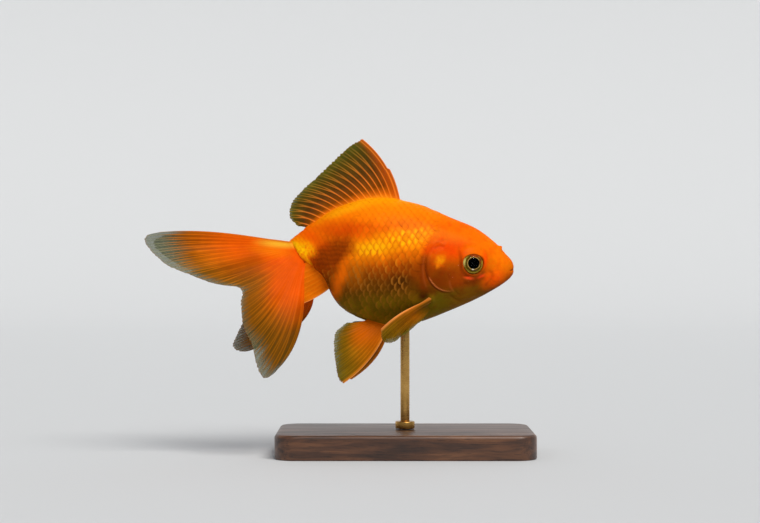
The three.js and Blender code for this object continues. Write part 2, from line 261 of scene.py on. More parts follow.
def closed(piece, merge=True, crisp=None):
    """Merges seams and poles, turns all faces outwards and smooths them, up to the angle crisp."""
    alone(piece)
    bpy.ops.object.mode_set(mode="EDIT")
    bpy.ops.mesh.select_all(action="SELECT")
    if merge:
        bpy.ops.mesh.remove_doubles(threshold=1e-6)
    bpy.ops.mesh.normals_make_consistent(inside=False)
    bpy.ops.object.mode_set(mode="OBJECT")
    if crisp is None:
        bpy.ops.object.shade_smooth()
    else:
        bpy.ops.object.shade_smooth_by_angle(angle=crisp)


def finished(piece, material, slot, *nodes):
    """Gives a piece its material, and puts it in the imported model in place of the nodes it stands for."""
    piece.data.materials.clear()
    piece.data.materials.append(material)
    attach(piece, "root")
    if nodes:
        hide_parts(*nodes)
    return piece


# ------------------------------------------------------------------ materials


def hue(code):
    """A hex sRGB colour as linear red, green, blue and alpha."""
    shares = [int(code[i : i + 2], 16) / 255 for i in (1, 3, 5)]
    return [s / 12.92 if s <= 0.04045 else ((s + 0.055) / 1.055) ** 2.4 for s in shares] + [1]


def add(tree, kind, inputs=(), out=0, stops=(), **settings):
    """Adds a node with its settings and links, and gives one of its outputs, or with None the node.

    inputs are values, or the outputs that they are linked to. stops are the places, from 0 to 1, and the
    colours of a colour ramp.
    """
    made = tree.nodes.new(kind if kind.startswith("NodeGroup") else "ShaderNode" + kind)
    for key, value in settings.items():
        setattr(made, key, value)
    for key, value in dict(inputs).items():
        if isinstance(value, bpy.types.NodeSocket):
            tree.links.new(value, made.inputs[key])
        else:
            made.inputs[key].default_value = value
    if stops:
        points = made.color_ramp.elements
        while len(points) < len(stops):
            points.new(0.5)
        for point, (place, code) in zip(points, stops):
            point.position, point.color = place, hue(code)
    return made if out is None else made.outputs[out]


SMOOTHLY = {"interpolation_type": "SMOOTHSTEP"}  # for a range that eases in and out
OF_COLOURS = {"data_type": "RGBA", "out": 2}  # for a mix of two colours


def new_material(name, **constants):
    """An empty material with a Principled shader, and the numbers that are the same all over it."""
    made = bpy.data.materials.new(name)
    made.use_nodes = True
    shader = made.node_tree.nodes["Principled BSDF"]
    for key, value in constants.items():
        shader.inputs[key.replace("_", " ")].default_value = value
    return made, made.node_tree, shader


def fish_place(tree):
    """The point shaded, in the fish's own frame and in millimetres."""
    spot = add(tree, "TexCoord", out="Object")
    sized = add(tree, "VectorMath", {0: spot, 1: [1 / MM] * 3}, operation="MULTIPLY")
    moved = {0: sized, 1: (FISH_X, 0, AXIS_HEIGHT)}
    return add(tree, "VectorMath", moved, operation="SUBTRACT")


WAVE_PERIOD = math.pi / 10  # of a wave texture at scale 1

# The base coat by height, from belly to back, in the fish's frame: the fish's own colours, with painted
# shade on the lower flank and belly, which face away from the light, and a painted highlight along the back.
BELLY_Z, BACK_Z = -21.5, 21.5
COAT_AND_PAINTED_LIGHT = [
    (-21.5, "#8e6a08"),
    (-15.0, "#806008"),
    (-9.5, "#643a04"),
    (-6.5, "#703a04"),
    (-3.5, "#944204"),
    (-0.5, "#ba5004"),
    (2.5, "#e46a04"),
    (5.5, "#f98204"),
    (8.7, "#f67a03"),
    (11.3, "#ee6803"),
    (14.5, "#fa7903"),
    (18.0, "#fd8604"),
    (21.5, "#ffa808"),
]

# Soft-edged patches over it: what it is, centre x and z, reach along and across, turn in degrees,
# softness of its edge, strength, colour.
PATCHES = [
    ("flank, dark red-brown", 6.5, -2.6, 8.5, 4.6, 4, 0.9, 0.7, "#8c3a03"),
    ("rear of the flank, orange-brown", -11.4, -3.4, 6.0, 4.0, 66, 0.9, 0.75, "#ba5e05"),
    ("upper edge of the dark flank, orange", -8.0, 0.8, 7.4, 2.2, 4, 0.9, 0.7, "#e87404"),
    # Painted highlight: the top of the back, beside the dorsal fin, lit from above.
    ("along the dorsal fin, painted highlight, yellow-orange", -13.0, 17.8, 13.0, 1.7, 21, 0.9, 0.8, "#ffa60a"),
    ("belly, darkest in front", 3.4, -6.2, 4.0, 2.9, 0, 0.9, 0.9, "#3e2002"),
    ("belly, olive", -1.5, -15.5, 15.5, 6.0, 0, 0.9, 0.6, "#604a04"),
    ("above the flank, smooth red-orange", -14.6, 9.7, 11, 3.4, 4, 0.9, 0.85, "#da4602"),
    # The gold of the flank: the scales' own lustre with a painted reflection of the light, brightest in the
    # middle.
    ("flank, gold", 0.5, 6.0, 12.5, 3.6, 13, 0.8, 0.95, "#fb8a04"),
    ("flank, brightest gold, painted reflection", -5.8, 4.5, 5.6, 2.3, 8, 0.9, 0.85, "#feb408"),
    ("shoulder, gold", 9.4, 8.1, 4.0, 1.6, 20, 0.9, 0.6, "#fb8606"),
    # Painted shade and shadow: behind the belly's bulge the flank faces away from the light.
    ("behind the belly, smooth painted shade, red-brown", -19.0, 3.6, 8.8, 4.9, 25, 0.5, 0.9, "#b44402"),
    ("fold behind the belly, smooth painted shadow, dark brown", -18.6, 2.2, 8.0, 4.1, 27, 0.5, 0.95, "#9c3e03"),
    # Painted highlight: the rear edge of the belly's bulge, where it faces the light.
    ("edge of the belly, smooth painted highlight, orange", -16.0, -5.0, 9.0, 2.4, 71, 0.9, 0.95, "#f87004"),
    ("above the stalk, smooth red-orange", -25.6, 8.2, 6.4, 2.4, -34, 1.0, 0.7, "#f04e03"),
    # The tail root's gold and yellow: the scales' own colour, with a painted glint where the stalk faces the
    # light.
    ("tail root, smooth gold above", -30.8, 5.5, 3.0, 1.0, -14, 0.7, 1.0, "#ffc814"),
    ("tail root, smooth gold", -27.6, 4.4, 3.9, 2.3, -30, 0.6, 1.0, "#fb9c04"),
    ("tail root, yellow", -28.8, 4.0, 3.0, 1.5, -48, 0.7, 1.0, "#ffbe04"),
    ("tail root, yellow below", -27.2, 0.6, 3.4, 0.9, -60, 0.8, 1.0, "#ffa604"),
    # Painted shade in the hollow behind the front fin's knob.
    ("hollow behind the front fin, painted shade, dark brown", 10.5, -11.3, 2.0, 1.3, 18, 0.9, 1.0, "#401804"),
    ("behind the gill, red-brown", 11.2, -2.4, 1.9, 7.4, -4, 0.8, 0.85, "#8b3602"),
    ("behind the gill above, red-orange", 13.0, 4.2, 3.2, 2.6, 40, 0.9, 0.9, "#e24c03"),
    ("chest, olive", 17, -13.8, 10, 4.4, 20, 0.8, 0.85, "#6a580a"),
    ("throat, olive-brown", 25, -11.0, 8, 3.2, 24, 0.8, 0.8, "#82500a"),
    # Painted shade on the cheek, which lies lower than the jaw's bulge.
    ("cheek, painted shade, brown", 22.4, -5.6, 6.6, 3.2, 12, 0.9, 0.85, "#a03f04"),
    ("lower gill cover, brown", 16.4, -5.4, 3.4, 3.2, 40, 0.9, 0.85, "#823603"),
    ("head, orange", 27, 8.0, 12, 5.4, -30, 0.9, 0.85, "#fb6c03"),
    ("upper gill cover, red-orange", 18.6, 4.6, 7.6, 3.8, -12, 0.9, 0.95, "#f04602"),
    ("gill cover, gold spot", 16.1, 0.6, 1.8, 1.3, 40, 0.9, 1.0, "#fe9808"),
    ("gill cover, gold spot below", 15.5, -1.0, 1.2, 0.8, 70, 0.9, 0.8, "#f58408"),
    # Painted shade behind the eye, where the skin folds away from the light.
    ("behind the eye, painted shade, dark red", 22.9, -0.4, 0.8, 4.2, 6, 0.9, 0.75, "#8c2c04"),
    ("snout, orange", 36.0, -0.6, 5.2, 5.0, -30, 0.9, 0.9, "#fd7c04"),
    ("chin, red-orange", 33.8, -5.0, 5.0, 2.9, 28, 0.9, 0.95, "#ff6204"),
    ("in front of the eye, red", 30.9, 0.6, 1.0, 3.0, 0, 0.95, 0.7, "#fb4404"),
    # Painted shade below the ridge under the eye; along the ridge's crest, red skin with a painted highlight.
    ("under the eye, painted shade, dark red-brown", 25.2, -4.9, 2.8, 0.9, -14, 0.95, 0.6, "#8c2e04"),
    ("ridge under the eye, red", 29.5, -4.5, 1.7, 0.6, 24, 0.95, 0.9, "#ff4c18"),
    ("ridge under the eye, red behind", 25.6, -5.3, 1.7, 0.5, -8, 0.95, 0.8, "#ff5420"),
]


def spread(tree, place, row):
    """How much of a patch shows at a place."""
    name, x, z, along, across, turn, softness, strength, _ = row
    lie = {0: place, 1: (x, 0, z), 2: (0, -math.radians(turn), 0), 3: (along, 1e6, across)}
    local = add(tree, "Mapping", lie, vector_type="TEXTURE", label=name)
    reach = add(tree, "VectorMath", {0: local}, operation="LENGTH", out="Value")
    fade = {"Value": reach, 1: 1 + softness / 2, 2: 1 - softness, 3: 0.0, 4: strength}
    return add(tree, "MapRange", fade, **SMOOTHLY)


def patch(tree, place, colour, row):
    """Lays one soft-edged patch over a colour: the new colour, and how much of it shows."""
    fade = spread(tree, place, row)
    laid = {0: fade, 6: colour, 7: hue(row[-1])}
    return add(tree, "Mix", laid, **OF_COLOURS), fade


def markings():
    """The fish's colours, with painted shade and highlights, for skin and scales alike; Gold is its lustre,
    and Smooth hides the scales.
    """
    tree = bpy.data.node_groups.new("goldfish markings and painted light", "ShaderNodeTree")
    tree.interface.new_socket("Place", in_out="INPUT", socket_type="NodeSocketVector")
    tree.interface.new_socket("Colour", in_out="OUTPUT", socket_type="NodeSocketColor")
    for share in ("Gold", "Smooth"):
        tree.interface.new_socket(share, in_out="OUTPUT", socket_type="NodeSocketFloat")
    place = add(tree, "NodeGroupInput", out="Place")
    # Mottling 5 mm across pulls the edges of the patches about by a millimetre.
    wander = add(tree, "TexNoise", {"Vector": place, "Scale": 1 / 5, "Detail": 2.0}, out="Color")
    pull = {0: wander, 1: (0.5, 0.5, 0.5)}
    centred = add(tree, "VectorMath", pull, operation="SUBTRACT")
    moved = {0: centred, 1: (2.4, 0, 2.4), 2: place}
    place = add(tree, "VectorMath", moved, operation="MULTIPLY_ADD")
    height = add(tree, "SeparateXYZ", {0: place}, out="Z")
    share = add(tree, "MapRange", {"Value": height, "From Min": BELLY_Z, "From Max": BACK_Z})
    stops = [((z - BELLY_Z) / (BACK_Z - BELLY_Z), code) for z, code in COAT_AND_PAINTED_LIGHT]
    colour, shares = add(tree, "ValToRGB", {0: share}, stops=stops), {"Gold": 0.0, "Smooth": 0.0}
    for row in PATCHES:
        colour, fade = patch(tree, place, colour, row)
        for word, most in shares.items():
            if word.lower() in row[0]:
                most = add(tree, "Math", {0: fade, 1: most}, operation="MAXIMUM")
                shares[word] = most
    # Faint ripples, 1.4 mm apart, cross the fold behind the belly.
    fold = spread(tree, place, ("ripples", -18.6, 2.2, 8.5, 4.6, 27, 0.5, 0.2, None))
    ripple = {"Vector": place, "Scale": WAVE_PERIOD / 1.4, "Distortion": 1.5, "Detail Scale": 0.3}
    ripple = add(tree, "TexWave", ripple, bands_direction="Z", out="Fac")
    ripple = add(tree, "Math", {0: fold, 1: ripple}, operation="MULTIPLY")
    ripple = add(tree, "Math", {0: 1.0, 1: ripple}, operation="SUBTRACT")
    colour = add(tree, "VectorMath", {0: colour, "Scale": ripple}, operation="SCALE")
    # The gold at the tail's root is broken into crumbs 0.9 mm across.
    near = spread(tree, place, ("crumbs", -26.6, 3.4, 4.0, 3.0, -30, 0.7, 1.0, None))
    crumb = add(tree, "TexNoise", {"Vector": place, "Scale": 1 / 0.9, "Detail": 3.0})
    crumb = add(tree, "MapRange", {"Value": crumb, 1: 0.47, 2: 0.6, 3: 0.0, 4: 0.85})
    spot = spread(tree, place, ("crumbs of the gold spot", 15.9, 0.2, 2.6, 2.6, 0, 0.7, 0.6, None))
    there = add(tree, "Math", {0: near, 1: spot}, operation="MAXIMUM")
    crumb = add(tree, "Math", {0: there, 1: crumb}, operation="MULTIPLY")
    broken = {0: crumb, 6: colour, 7: hue("#e25c04")}
    colour = add(tree, "Mix", broken, **OF_COLOURS)
    # A painted glint: the tail's root is painted up to 1.4 times brighter.
    bright = add(tree, "MapRange", {"Value": near, 3: 1.0, 4: 1.4})
    colour = add(tree, "VectorMath", {0: colour, "Scale": bright}, operation="SCALE")
    add(tree, "NodeGroupOutput", {"Colour": colour, **shares}, out=None)
    return tree


MARKINGS = markings()


def fish_skin():
    """Wet, naked fish skin: smooth, a little see-through over red flesh, with a film of slime that shines."""
    made, tree, shader = new_material(
        "wet fish skin",
        Roughness=0.5,
        IOR=1.05,
        Subsurface_Weight=0.1,
        Subsurface_Radius=(1.0, 0.3, 0.1),
        Subsurface_Scale=0.8 * MM,
        Coat_Weight=0.015,
        Coat_Roughness=0.2,
    )
    place = fish_place(tree)
    coat = add(tree, "Group", node_tree=MARKINGS, out=None)
    tree.links.new(place, coat.inputs["Place"])
    # Blotches 3.5 mm across where the blood shows through redder.
    blood = add(tree, "TexNoise", {"Vector": place, "Scale": 1 / 3.5, "Detail": 4.0})
    blood = add(tree, "MapRange", {"Value": blood, 1: 0.46, 2: 0.66, 3: 0.0, 4: 0.5}, **SMOOTHLY)
    redder = {0: coat.outputs["Colour"], 1: (0.97, 0.62, 0.8)}
    redder = add(tree, "VectorMath", redder, operation="MULTIPLY")
    flushed = add(tree, "Mix", {0: blood, 6: coat.outputs["Colour"], 7: redder}, **OF_COLOURS)
    # Fine mottling, 1.2 mm across, of the pigment cells.
    cells = add(tree, "TexNoise", {"Vector": place, "Scale": 1 / 1.2, "Detail": 3.0})
    light = add(tree, "MapRange", {"Value": cells, 1: 0.3, 2: 0.7, 3: 0.95, 4: 1.05})
    colour = add(tree, "VectorMath", {0: flushed, "Scale": light}, operation="SCALE")
    # Pale pores, 1.5 mm apart, behind and below the eye.
    near = spread(tree, place, ("pores", 23.4, -3.4, 4.0, 3.4, -20, 0.6, 0.8, None))
    pores = add(tree, "TexVoronoi", {"Vector": place, "Scale": 1 / 1.5}, out="Distance")
    pores = add(tree, "MapRange", {"Value": pores, 1: 0.16, 2: 0.08, 3: 0.0, 4: 1.0})
    pores = add(tree, "Math", {0: near, 1: pores}, operation="MULTIPLY")
    # Painted shade in grooves, pits and round the eyes, and painted highlights along crests and the gill
    # cover's bead.
    crease = add(tree, "Attribute", attribute_name="crease", out="Fac")
    rim = add(tree, "Attribute", attribute_name="rim", out="Fac")
    for share, code in ((pores, "#e8885c"), (crease, "#5a1f05"), (rim, "#ff8a48")):
        laid = {0: share, 6: colour, 7: hue(code)}
        colour = add(tree, "Mix", laid, **OF_COLOURS)
    tree.links.new(colour, shader.inputs["Base Color"])
    # Goose-skin grain, 0.35 mm across, under the slime.
    grain = add(tree, "TexNoise", {"Vector": place, "Scale": 1 / 0.35, "Detail": 2.0})
    bump = {"Height": grain, "Strength": 0.25, "Distance": 0.03 * MM}
    tree.links.new(add(tree, "Bump", bump), shader.inputs["Normal"])
    return made


def fish_scale():
    """Thin bony scales over silvery pigment: pearly, with a lustre of gold where the flank catches light."""
    made, tree, shader = new_material(
        "gold-lustred fish scale",
        Roughness=0.4,
        IOR=1.06,
        Coat_Weight=0.01,
        Coat_Roughness=0.2,
    )
    place = fish_place(tree)
    coat = add(tree, "Group", node_tree=MARKINGS, out=None)
    tree.links.new(place, coat.inputs["Place"])
    read = {}
    for name in ("share", "across", "tone", "free"):
        read[name] = add(tree, "Attribute", attribute_name=name, out="Fac")
    height = add(tree, "SeparateXYZ", {0: place}, out="Z")
    # On the back and behind the belly the pigment runs evenly over the scales, so that they hardly show.
    even = add(tree, "MapRange", {"Value": height, 1: 10.0, 2: 16.5, 3: 0.0, 4: 0.88}, **SMOOTHLY)
    smooth = [coat.outputs["Smooth"]]
    for row in (
        ("behind the belly", -25.5, 6.0, 9.5, 6.0, -30, 0.4, 0.85, None),
        ("beside the dorsal fin", -17.5, 14.0, 13.0, 5.0, 26, 0.6, 0.85, None),
    ):
        smooth.append(spread(tree, place, row))
    for other in smooth:
        even = add(tree, "Math", {0: even, 1: other}, operation="MAXIMUM")
    # A bright oval in the middle of what shows of each scale: a painted highlight on its rounded middle,
    # with painted shade towards the edges that lie in the crevices.
    own = add(tree, "CombineXYZ", {"X": read["share"], "Y": read["across"]})
    lie = {0: own, 1: (0.8, 0, 0), 3: (0.23, 0.7, 1)}
    own = add(tree, "Mapping", lie, vector_type="TEXTURE")
    own = add(tree, "VectorMath", {0: own}, operation="LENGTH", out="Value")
    middle = add(tree, "MapRange", {"Value": own, 1: 1.25, 2: 0.1, 3: 0.0, 4: 1.0}, **SMOOTHLY)
    # The painted highlight and shade are strong on the flank's upper half, which faces the light,
    # and hardly show on the dark belly.
    high = {"Value": height, 1: -5.0, 2: 3.0, 3: 1.0, 4: 0.97}
    darkest = add(tree, "MapRange", high)
    brightest = add(tree, "MapRange", {**high, 3: 1.0, 4: 1.26})
    shade = add(tree, "Mix", {0: middle, 2: darkest, 3: brightest})
    lit = add(tree, "Math", {0: shade, 1: read["tone"]}, operation="MULTIPLY")
    lit = add(tree, "Mix", {0: even, 2: lit, 3: 1.0})
    colour = add(tree, "VectorMath", {0: coat.outputs["Colour"], "Scale": lit}, operation="SCALE")
    # The gold leaf is thin in places, in flecks 0.9 mm across.
    worn = add(tree, "TexNoise", {"Vector": place, "Scale": 1 / 0.9, "Detail": 2.0})
    worn = add(tree, "MapRange", {"Value": worn, 1: 0.36, 2: 0.58, 3: 0.25, 4: 1.2})
    own_leaf = add(tree, "MapRange", {"Value": read["tone"], 1: 0.86, 2: 1.14, 3: 0.4, 4: 1.3})
    leaf = coat.outputs["Gold"]
    for factor in (middle, worn, own_leaf):
        leaf = add(tree, "Math", {0: leaf, 1: factor}, operation="MULTIPLY")
    # The gold lustre is also painted into the colour: partly the scales' own gold, partly a painted
    # reflection.
    gilt = add(tree, "Math", {0: leaf, 1: 0.75}, operation="MULTIPLY")
    colour = add(tree, "Mix", {0: gilt, 6: colour, 7: hue("#ffb60a")}, **OF_COLOURS)
    # The free edge shows as a soft arc, a painted highlight where the raised edge catches the light, brighter
    # on some scales: orange above, tan on the dark belly.
    low = add(tree, "MapRange", {"Value": height, 1: 3.0, 2: -6.0, 3: 0.0, 4: 1.0}, **SMOOTHLY)
    rim = add(tree, "Mix", {0: low, 6: hue("#e87a0a"), 7: hue("#a4621c")}, **OF_COLOURS)
    arc = {"Value": read["share"], 1: 0.8, 2: 0.94, 3: 0.0, 4: 1.0}
    amount = add(tree, "MapRange", arc, **SMOOTHLY)
    sideways = add(tree, "Math", {0: read["across"]}, operation="ABSOLUTE")
    ends = add(tree, "MapRange", {"Value": sideways, 1: 0.85, 2: 0.3, 3: 0.0, 4: 1.0}, **SMOOTHLY)
    chosen = add(tree, "MapRange", {"Value": read["tone"], 1: 0.9, 2: 1.15, 3: 0.35, 4: 1.0})
    deep = add(tree, "MapRange", {"Value": height, 1: -12.0, 2: -7.0, 3: 0.45, 4: 1.0})
    for factor in (ends, chosen, deep, read["free"]):
        amount = add(tree, "Math", {0: amount, 1: factor}, operation="MULTIPLY")
    amount = add(tree, "Mix", {0: even, 2: amount, 3: 0.0})
    colour = add(tree, "Mix", {0: amount, 6: colour, 7: rim}, **OF_COLOURS)
    tree.links.new(colour, shader.inputs["Base Color"])
    lustre = add(tree, "Math", {0: leaf, 1: 0.2}, operation="MULTIPLY")
    tree.links.new(lustre, shader.inputs["Metallic"])
    return made


def fin_flesh(name, web, ray, front, web_alpha, low=None, patches=(), tip=("#5a5a18", "#7e7830")):
    """Fin: bony rays in a thin wet web. web and ray are colour stops from root to margin, and front is a
    colour of the web and one of the rays along the leading edge."""
    made, tree, shader = new_material(name, Roughness=0.45, IOR=1.06, Coat_Weight=0.01, Coat_Roughness=0.2)
    read = {}
    for key in ("out", "ray", "clear", "rim", "lead"):
        read[key] = add(tree, "Attribute", attribute_name=key, out="Fac")
    place = fish_place(tree)
    web, ray = (add(tree, "ValToRGB", {0: read["out"]}, stops=stops) for stops in (web, ray))
    colour = add(tree, "Mix", {0: read["ray"], 6: web, 7: ray}, **OF_COLOURS)
    # Lighter and darker patches, 6 mm across: painted shading of the web's soft folds.
    fold_shading = add(tree, "TexNoise", {"Vector": place, "Scale": 1 / 6, "Detail": 3.0})
    light = add(tree, "MapRange", {"Value": fold_shading, 1: 0.3, 2: 0.7, 3: 0.82, 4: 1.12})
    colour = add(tree, "VectorMath", {0: colour, "Scale": light}, operation="SCALE")

    def lay(colour, share, web_code, ray_code):
        """Lays one colour on the web and another on the rays, as far as share goes."""
        both = add(tree, "Mix", {0: read["ray"], 6: hue(web_code), 7: hue(ray_code)}, **OF_COLOURS)
        return add(tree, "Mix", {0: share, 6: colour, 7: both}, **OF_COLOURS)

    if low:
        # The lobes that hang down are darker and browner: painted shade, as the light falls from above.
        top_z, low_z, *painted_shade_browns = low
        height = add(tree, "SeparateXYZ", {0: place}, out="Z")
        fade = add(tree, "MapRange", {"Value": height, 1: top_z, 2: low_z, 3: 0.0, 4: 0.85}, **SMOOTHLY)
        colour = lay(colour, fade, *painted_shade_browns)
    for row in patches:
        colour, _ = patch(tree, place, colour, row)
    # The first rays stand close together in thick flesh.
    colour = lay(colour, read["lead"], *front)
    # Beyond the pigment the web is smoky and the rays are paler.
    colour = lay(colour, read["clear"], *tip)
    # A painted highlight along the leading edge and the margin.
    colour = add(tree, "Mix", {0: read["rim"], 6: colour, 7: hue("#ffa868")}, **OF_COLOURS)
    tree.links.new(colour, shader.inputs["Base Color"])
    solid = add(tree, "MapRange", {"Value": read["out"], 1: 0.0, 2: 0.5, 3: 1.0, 4: web_alpha}, **SMOOTHLY)
    solid = add(tree, "Mix", {0: read["clear"], 2: solid, 3: 0.5})
    firm = add(tree, "Mix", {0: read["clear"], 2: 1.0, 3: 0.68})
    solid = {0: read["ray"], 2: solid, 3: firm}
    tree.links.new(add(tree, "Mix", solid), shader.inputs["Alpha"])
    return made


def iris_metal():
    """The iris: a ring of guanine crystals behind the cornea, dull gold with a bright inner edge."""
    made, tree, shader = new_material("gold iris", Roughness=0.4, IOR=1.1)
    radius = add(tree, "Attribute", attribute_name="radius", out="Fac")
    out = add(tree, "MapRange", {"Value": radius, 1: PUPIL_RADIUS, 2: EYE_RADIUS})
    place = fish_place(tree)
    # Fibres 0.4 mm apart.
    fibre = add(tree, "TexNoise", {"Vector": place, "Scale": 1 / 0.4, "Detail": 3.0})
    stops = [
        (0.0, "#0c0805"),
        (0.02, "#c8a458"),
        (0.12, "#a07c3c"),
        (0.2, "#5a3c06"),
        (0.52, "#584406"),
        (0.66, "#a08820"),
        (0.8, "#bca43c"),
        (0.93, "#80601a"),
        (1.0, "#a04c10"),
    ]
    colour = add(tree, "ValToRGB", {0: out}, stops=stops)
    light = add(tree, "MapRange", {"Value": fibre, 1: 0.3, 2: 0.7, 3: 0.75, 4: 1.25})
    colour = add(tree, "VectorMath", {0: colour, "Scale": light}, operation="SCALE")
    # Brown in front, painted shade under the upper lid, a pale crescent towards the gill, and a painted
    # glint:
    # a small white spot below the pupil.
    for row in (
        ("brown in front", EYE_X + 2.7, EYE_Z + 0.9, 0.55, 1.7, -14, 0.7, 0.9, "#6e3206"),
        ("red-brown above", EYE_X + 0.5, EYE_Z + 2.7, 3.0, 0.7, -12, 0.7, 0.9, "#a03c0a"),
        ("pale crescent towards the gill", EYE_X - 2.8, EYE_Z + 0.5, 0.6, 2.0, -4, 0.8, 1.0, "#ece884"),
        ("painted glint under the pupil", EYE_X + 0.2, EYE_Z - 1.95, 0.4, 0.28, 0, 0.5, 1.0, "#fff4d8"),
    ):
        colour, _ = patch(tree, place, colour, row)
    tree.links.new(colour, shader.inputs["Base Color"])
    return made


def eye_lens():
    """The lens in the pupil: a black, polished bead."""
    made, _, shader = new_material("black eye lens", Roughness=0.3, IOR=1.01)
    shader.inputs["Base Color"].default_value = hue("#020203")
    return made


def cornea():
    """The cornea: clear as water and as shiny, so only its reflections show."""
    made, tree, shader = new_material("clear cornea")
    weight = add(tree, "Fresnel", {"IOR": 1.08})
    clear = add(tree, "BsdfTransparent")
    shine = add(tree, "BsdfGlossy", {"Roughness": 0.02})
    both = add(tree, "MixShader", {0: weight, 1: clear, 2: shine})
    tree.links.new(both, tree.nodes["Material Output"].inputs["Surface"])
    tree.nodes.remove(shader)
    return made


def walnut():
    """Oiled walnut, planed along the grain: dark streaks 1.5 mm apart, pores, a low satin shine."""
    made, tree, shader = new_material("oiled walnut", IOR=1.5, Coat_Weight=0.25, Coat_Roughness=0.3)
    spot = add(tree, "TexCoord", out="Object")
    lie = {0: spot, 2: (0.06, 0.04, 0.05), 3: (30.0, 320.0, 320.0)}
    grain = add(tree, "Mapping", lie)
    streak = {"Vector": grain, "Scale": 1.0, "Detail": 6.0, "Roughness": 0.62, "Distortion": 0.6}
    streak = add(tree, "TexNoise", streak)
    stops = [(0.28, "#24130a"), (0.45, "#452817"), (0.58, "#633d24"), (0.72, "#7d5233")]
    colour = add(tree, "ValToRGB", {0: streak}, stops=stops)
    pore_lie = {0: spot, 3: (160.0, 2600.0, 2600.0)}
    pores = add(tree, "Mapping", pore_lie)
    pores = add(tree, "TexNoise", {"Vector": pores, "Scale": 1.0, "Detail": 2.0})
    holes = add(tree, "MapRange", {"Value": pores, 1: 0.34, 2: 0.42, 3: 0.45, 4: 1.0})
    colour = add(tree, "VectorMath", {0: colour, "Scale": holes}, operation="SCALE")
    tree.links.new(colour, shader.inputs["Base Color"])
    rough = add(tree, "MapRange", {"Value": streak, 1: 0.3, 2: 0.7, 3: 0.5, 4: 0.36})
    tree.links.new(rough, shader.inputs["Roughness"])
    bump = {"Height": holes, "Strength": 0.4, "Distance": 0.04 * MM}
    tree.links.new(add(tree, "Bump", bump), shader.inputs["Normal"])
    return made


def brass():
    """Brass, turned and rubbed with fine paper: rings 0.3 mm apart round the rod, a warm soft shine."""
    made, tree, shader = new_material("brushed brass", Metallic=1.0)
    spot = add(tree, "TexCoord", out="Object")
    lie = add(tree, "Mapping", {0: spot, 3: (400.0, 400.0, 3300.0)})
    rings = add(tree, "TexNoise", {"Vector": lie, "Scale": 1.0, "Detail": 3.0})
    tarnish = add(tree, "TexNoise", {"Vector": spot, "Scale": 160.0, "Detail": 2.0})
    stops = [(0.3, "#a37a3c"), (0.6, "#c79b56"), (0.8, "#d3ab68")]
    colour = add(tree, "ValToRGB", {0: tarnish}, stops=stops)
    tree.links.new(colour, shader.inputs["Base Color"])
    rough = add(tree, "MapRange", {"Value": rings, 1: 0.3, 2: 0.7, 3: 0.22, 4: 0.36})
    tree.links.new(rough, shader.inputs["Roughness"])
    bump = {"Height": rings, "Strength": 0.2, "Distance": 0.01 * MM}
    tree.links.new(add(tree, "Bump", bump), shader.inputs["Normal"])
    return made


# ------------------------------------------------------------------ the skin's relief

GILL = {"x": 19.1, "z": -1.3, "length": 7.4, "height": 8.3}

# Folds of the head and shoulder, seen from the side: line, half width, rise (a groove is negative),
# and tint, the painted highlight along the fold's crest; narrow grooves also get painted shade.
FOLDS = [
    (
        "ridge under the eye",
        [(22.8, -4.4), (24.4, -5.5), (26.4, -5.5), (28.6, -4.4), (31.8, -2.6)],
        0.42,
        0.16,
        0.03,
    ),
    ("hollow below that ridge", [(23.2, -6.9), (25.8, -7.2), (28.6, -6.2), (31.0, -4.8)], 0.8, -0.24, 0),
    (
        "rear edge of the jaw",
        [(31.4, -2.8), (33.2, -3.7), (33.1, -5.4), (31.8, -7.2), (30.2, -8.8)],
        0.6,
        -0.22,
        0,
    ),
    ("jaw bulge", [(34.6, -3.0), (34.9, -4.8), (34.0, -6.6)], 1.1, 0.2, 0),
    ("cheek groove", [(18.7, -3.0), (19.2, -6.0), (20.8, -9.2), (23.6, -11.4)], 0.36, -0.09, 0),
    ("cheek plate", [(19.2, -5.6), (19.6, -8.0), (20.9, -10.0)], 0.4, 0.07, 0.08),
    ("upper edge of the gill cover", [(12.3, -2.0), (12.5, 1.0), (13.6, 3.6), (15.2, 6.2)], 0.3, 0.06, 0.05),
    ("arc over the gold spot", [(14.2, 2.4), (15.8, 3.6), (17.8, 4.2)], 0.3, 0.08, 0.06),
    ("fold above the gill cover", [(13.2, 5.4), (15.4, 6.6), (17.4, 5.8), (18.6, 6.4)], 0.35, 0.16, 0.1),
    ("groove under that fold", [(13.8, 4.2), (15.8, 5.2), (17.8, 4.9)], 0.34, -0.22, 0),
    ("gill membrane", [(18.6, -10.2), (22.0, -12.4), (27.0, -12.2), (31.0, -10.4)], 0.4, -0.2, 0),
    ("shoulder bone", [(11.4, 3.4), (10.6, -1.0), (10.9, -5.6), (12.0, -9.0)], 0.36, 0.14, 0.08),
    ("line behind the shoulder", [(10.4, 4.0), (9.4, -1.0), (9.7, -5.6), (10.6, -8.6)], 0.4, -0.1, 0),
    ("fold of the belly", [(-12.8, 12.5), (-15.4, 6.0), (-18.2, -0.4), (-19.6, -6.2)], 2.1, -0.5, 0),
    ("edge of the belly", [(-10.4, 10.0), (-12.9, 4.6), (-15.4, -1.4), (-16.6, -8.4)], 2.5, 0.3, 0),
]


def eye_frame(side):
    """Centre of the eyeball and the direction it looks in."""
    along = along_at(EYE_X)
    centre = np.array([EYE_X, side * (body_row(along)[3] - EYE_SINK), EYE_Z])
    look = np.array([math.sin(EYE_TURN), side * math.cos(EYE_TURN), 0.0])
    return centre, look


def mouth_line(x):
    return -2.62 - 0.42 * (40.3 - x)


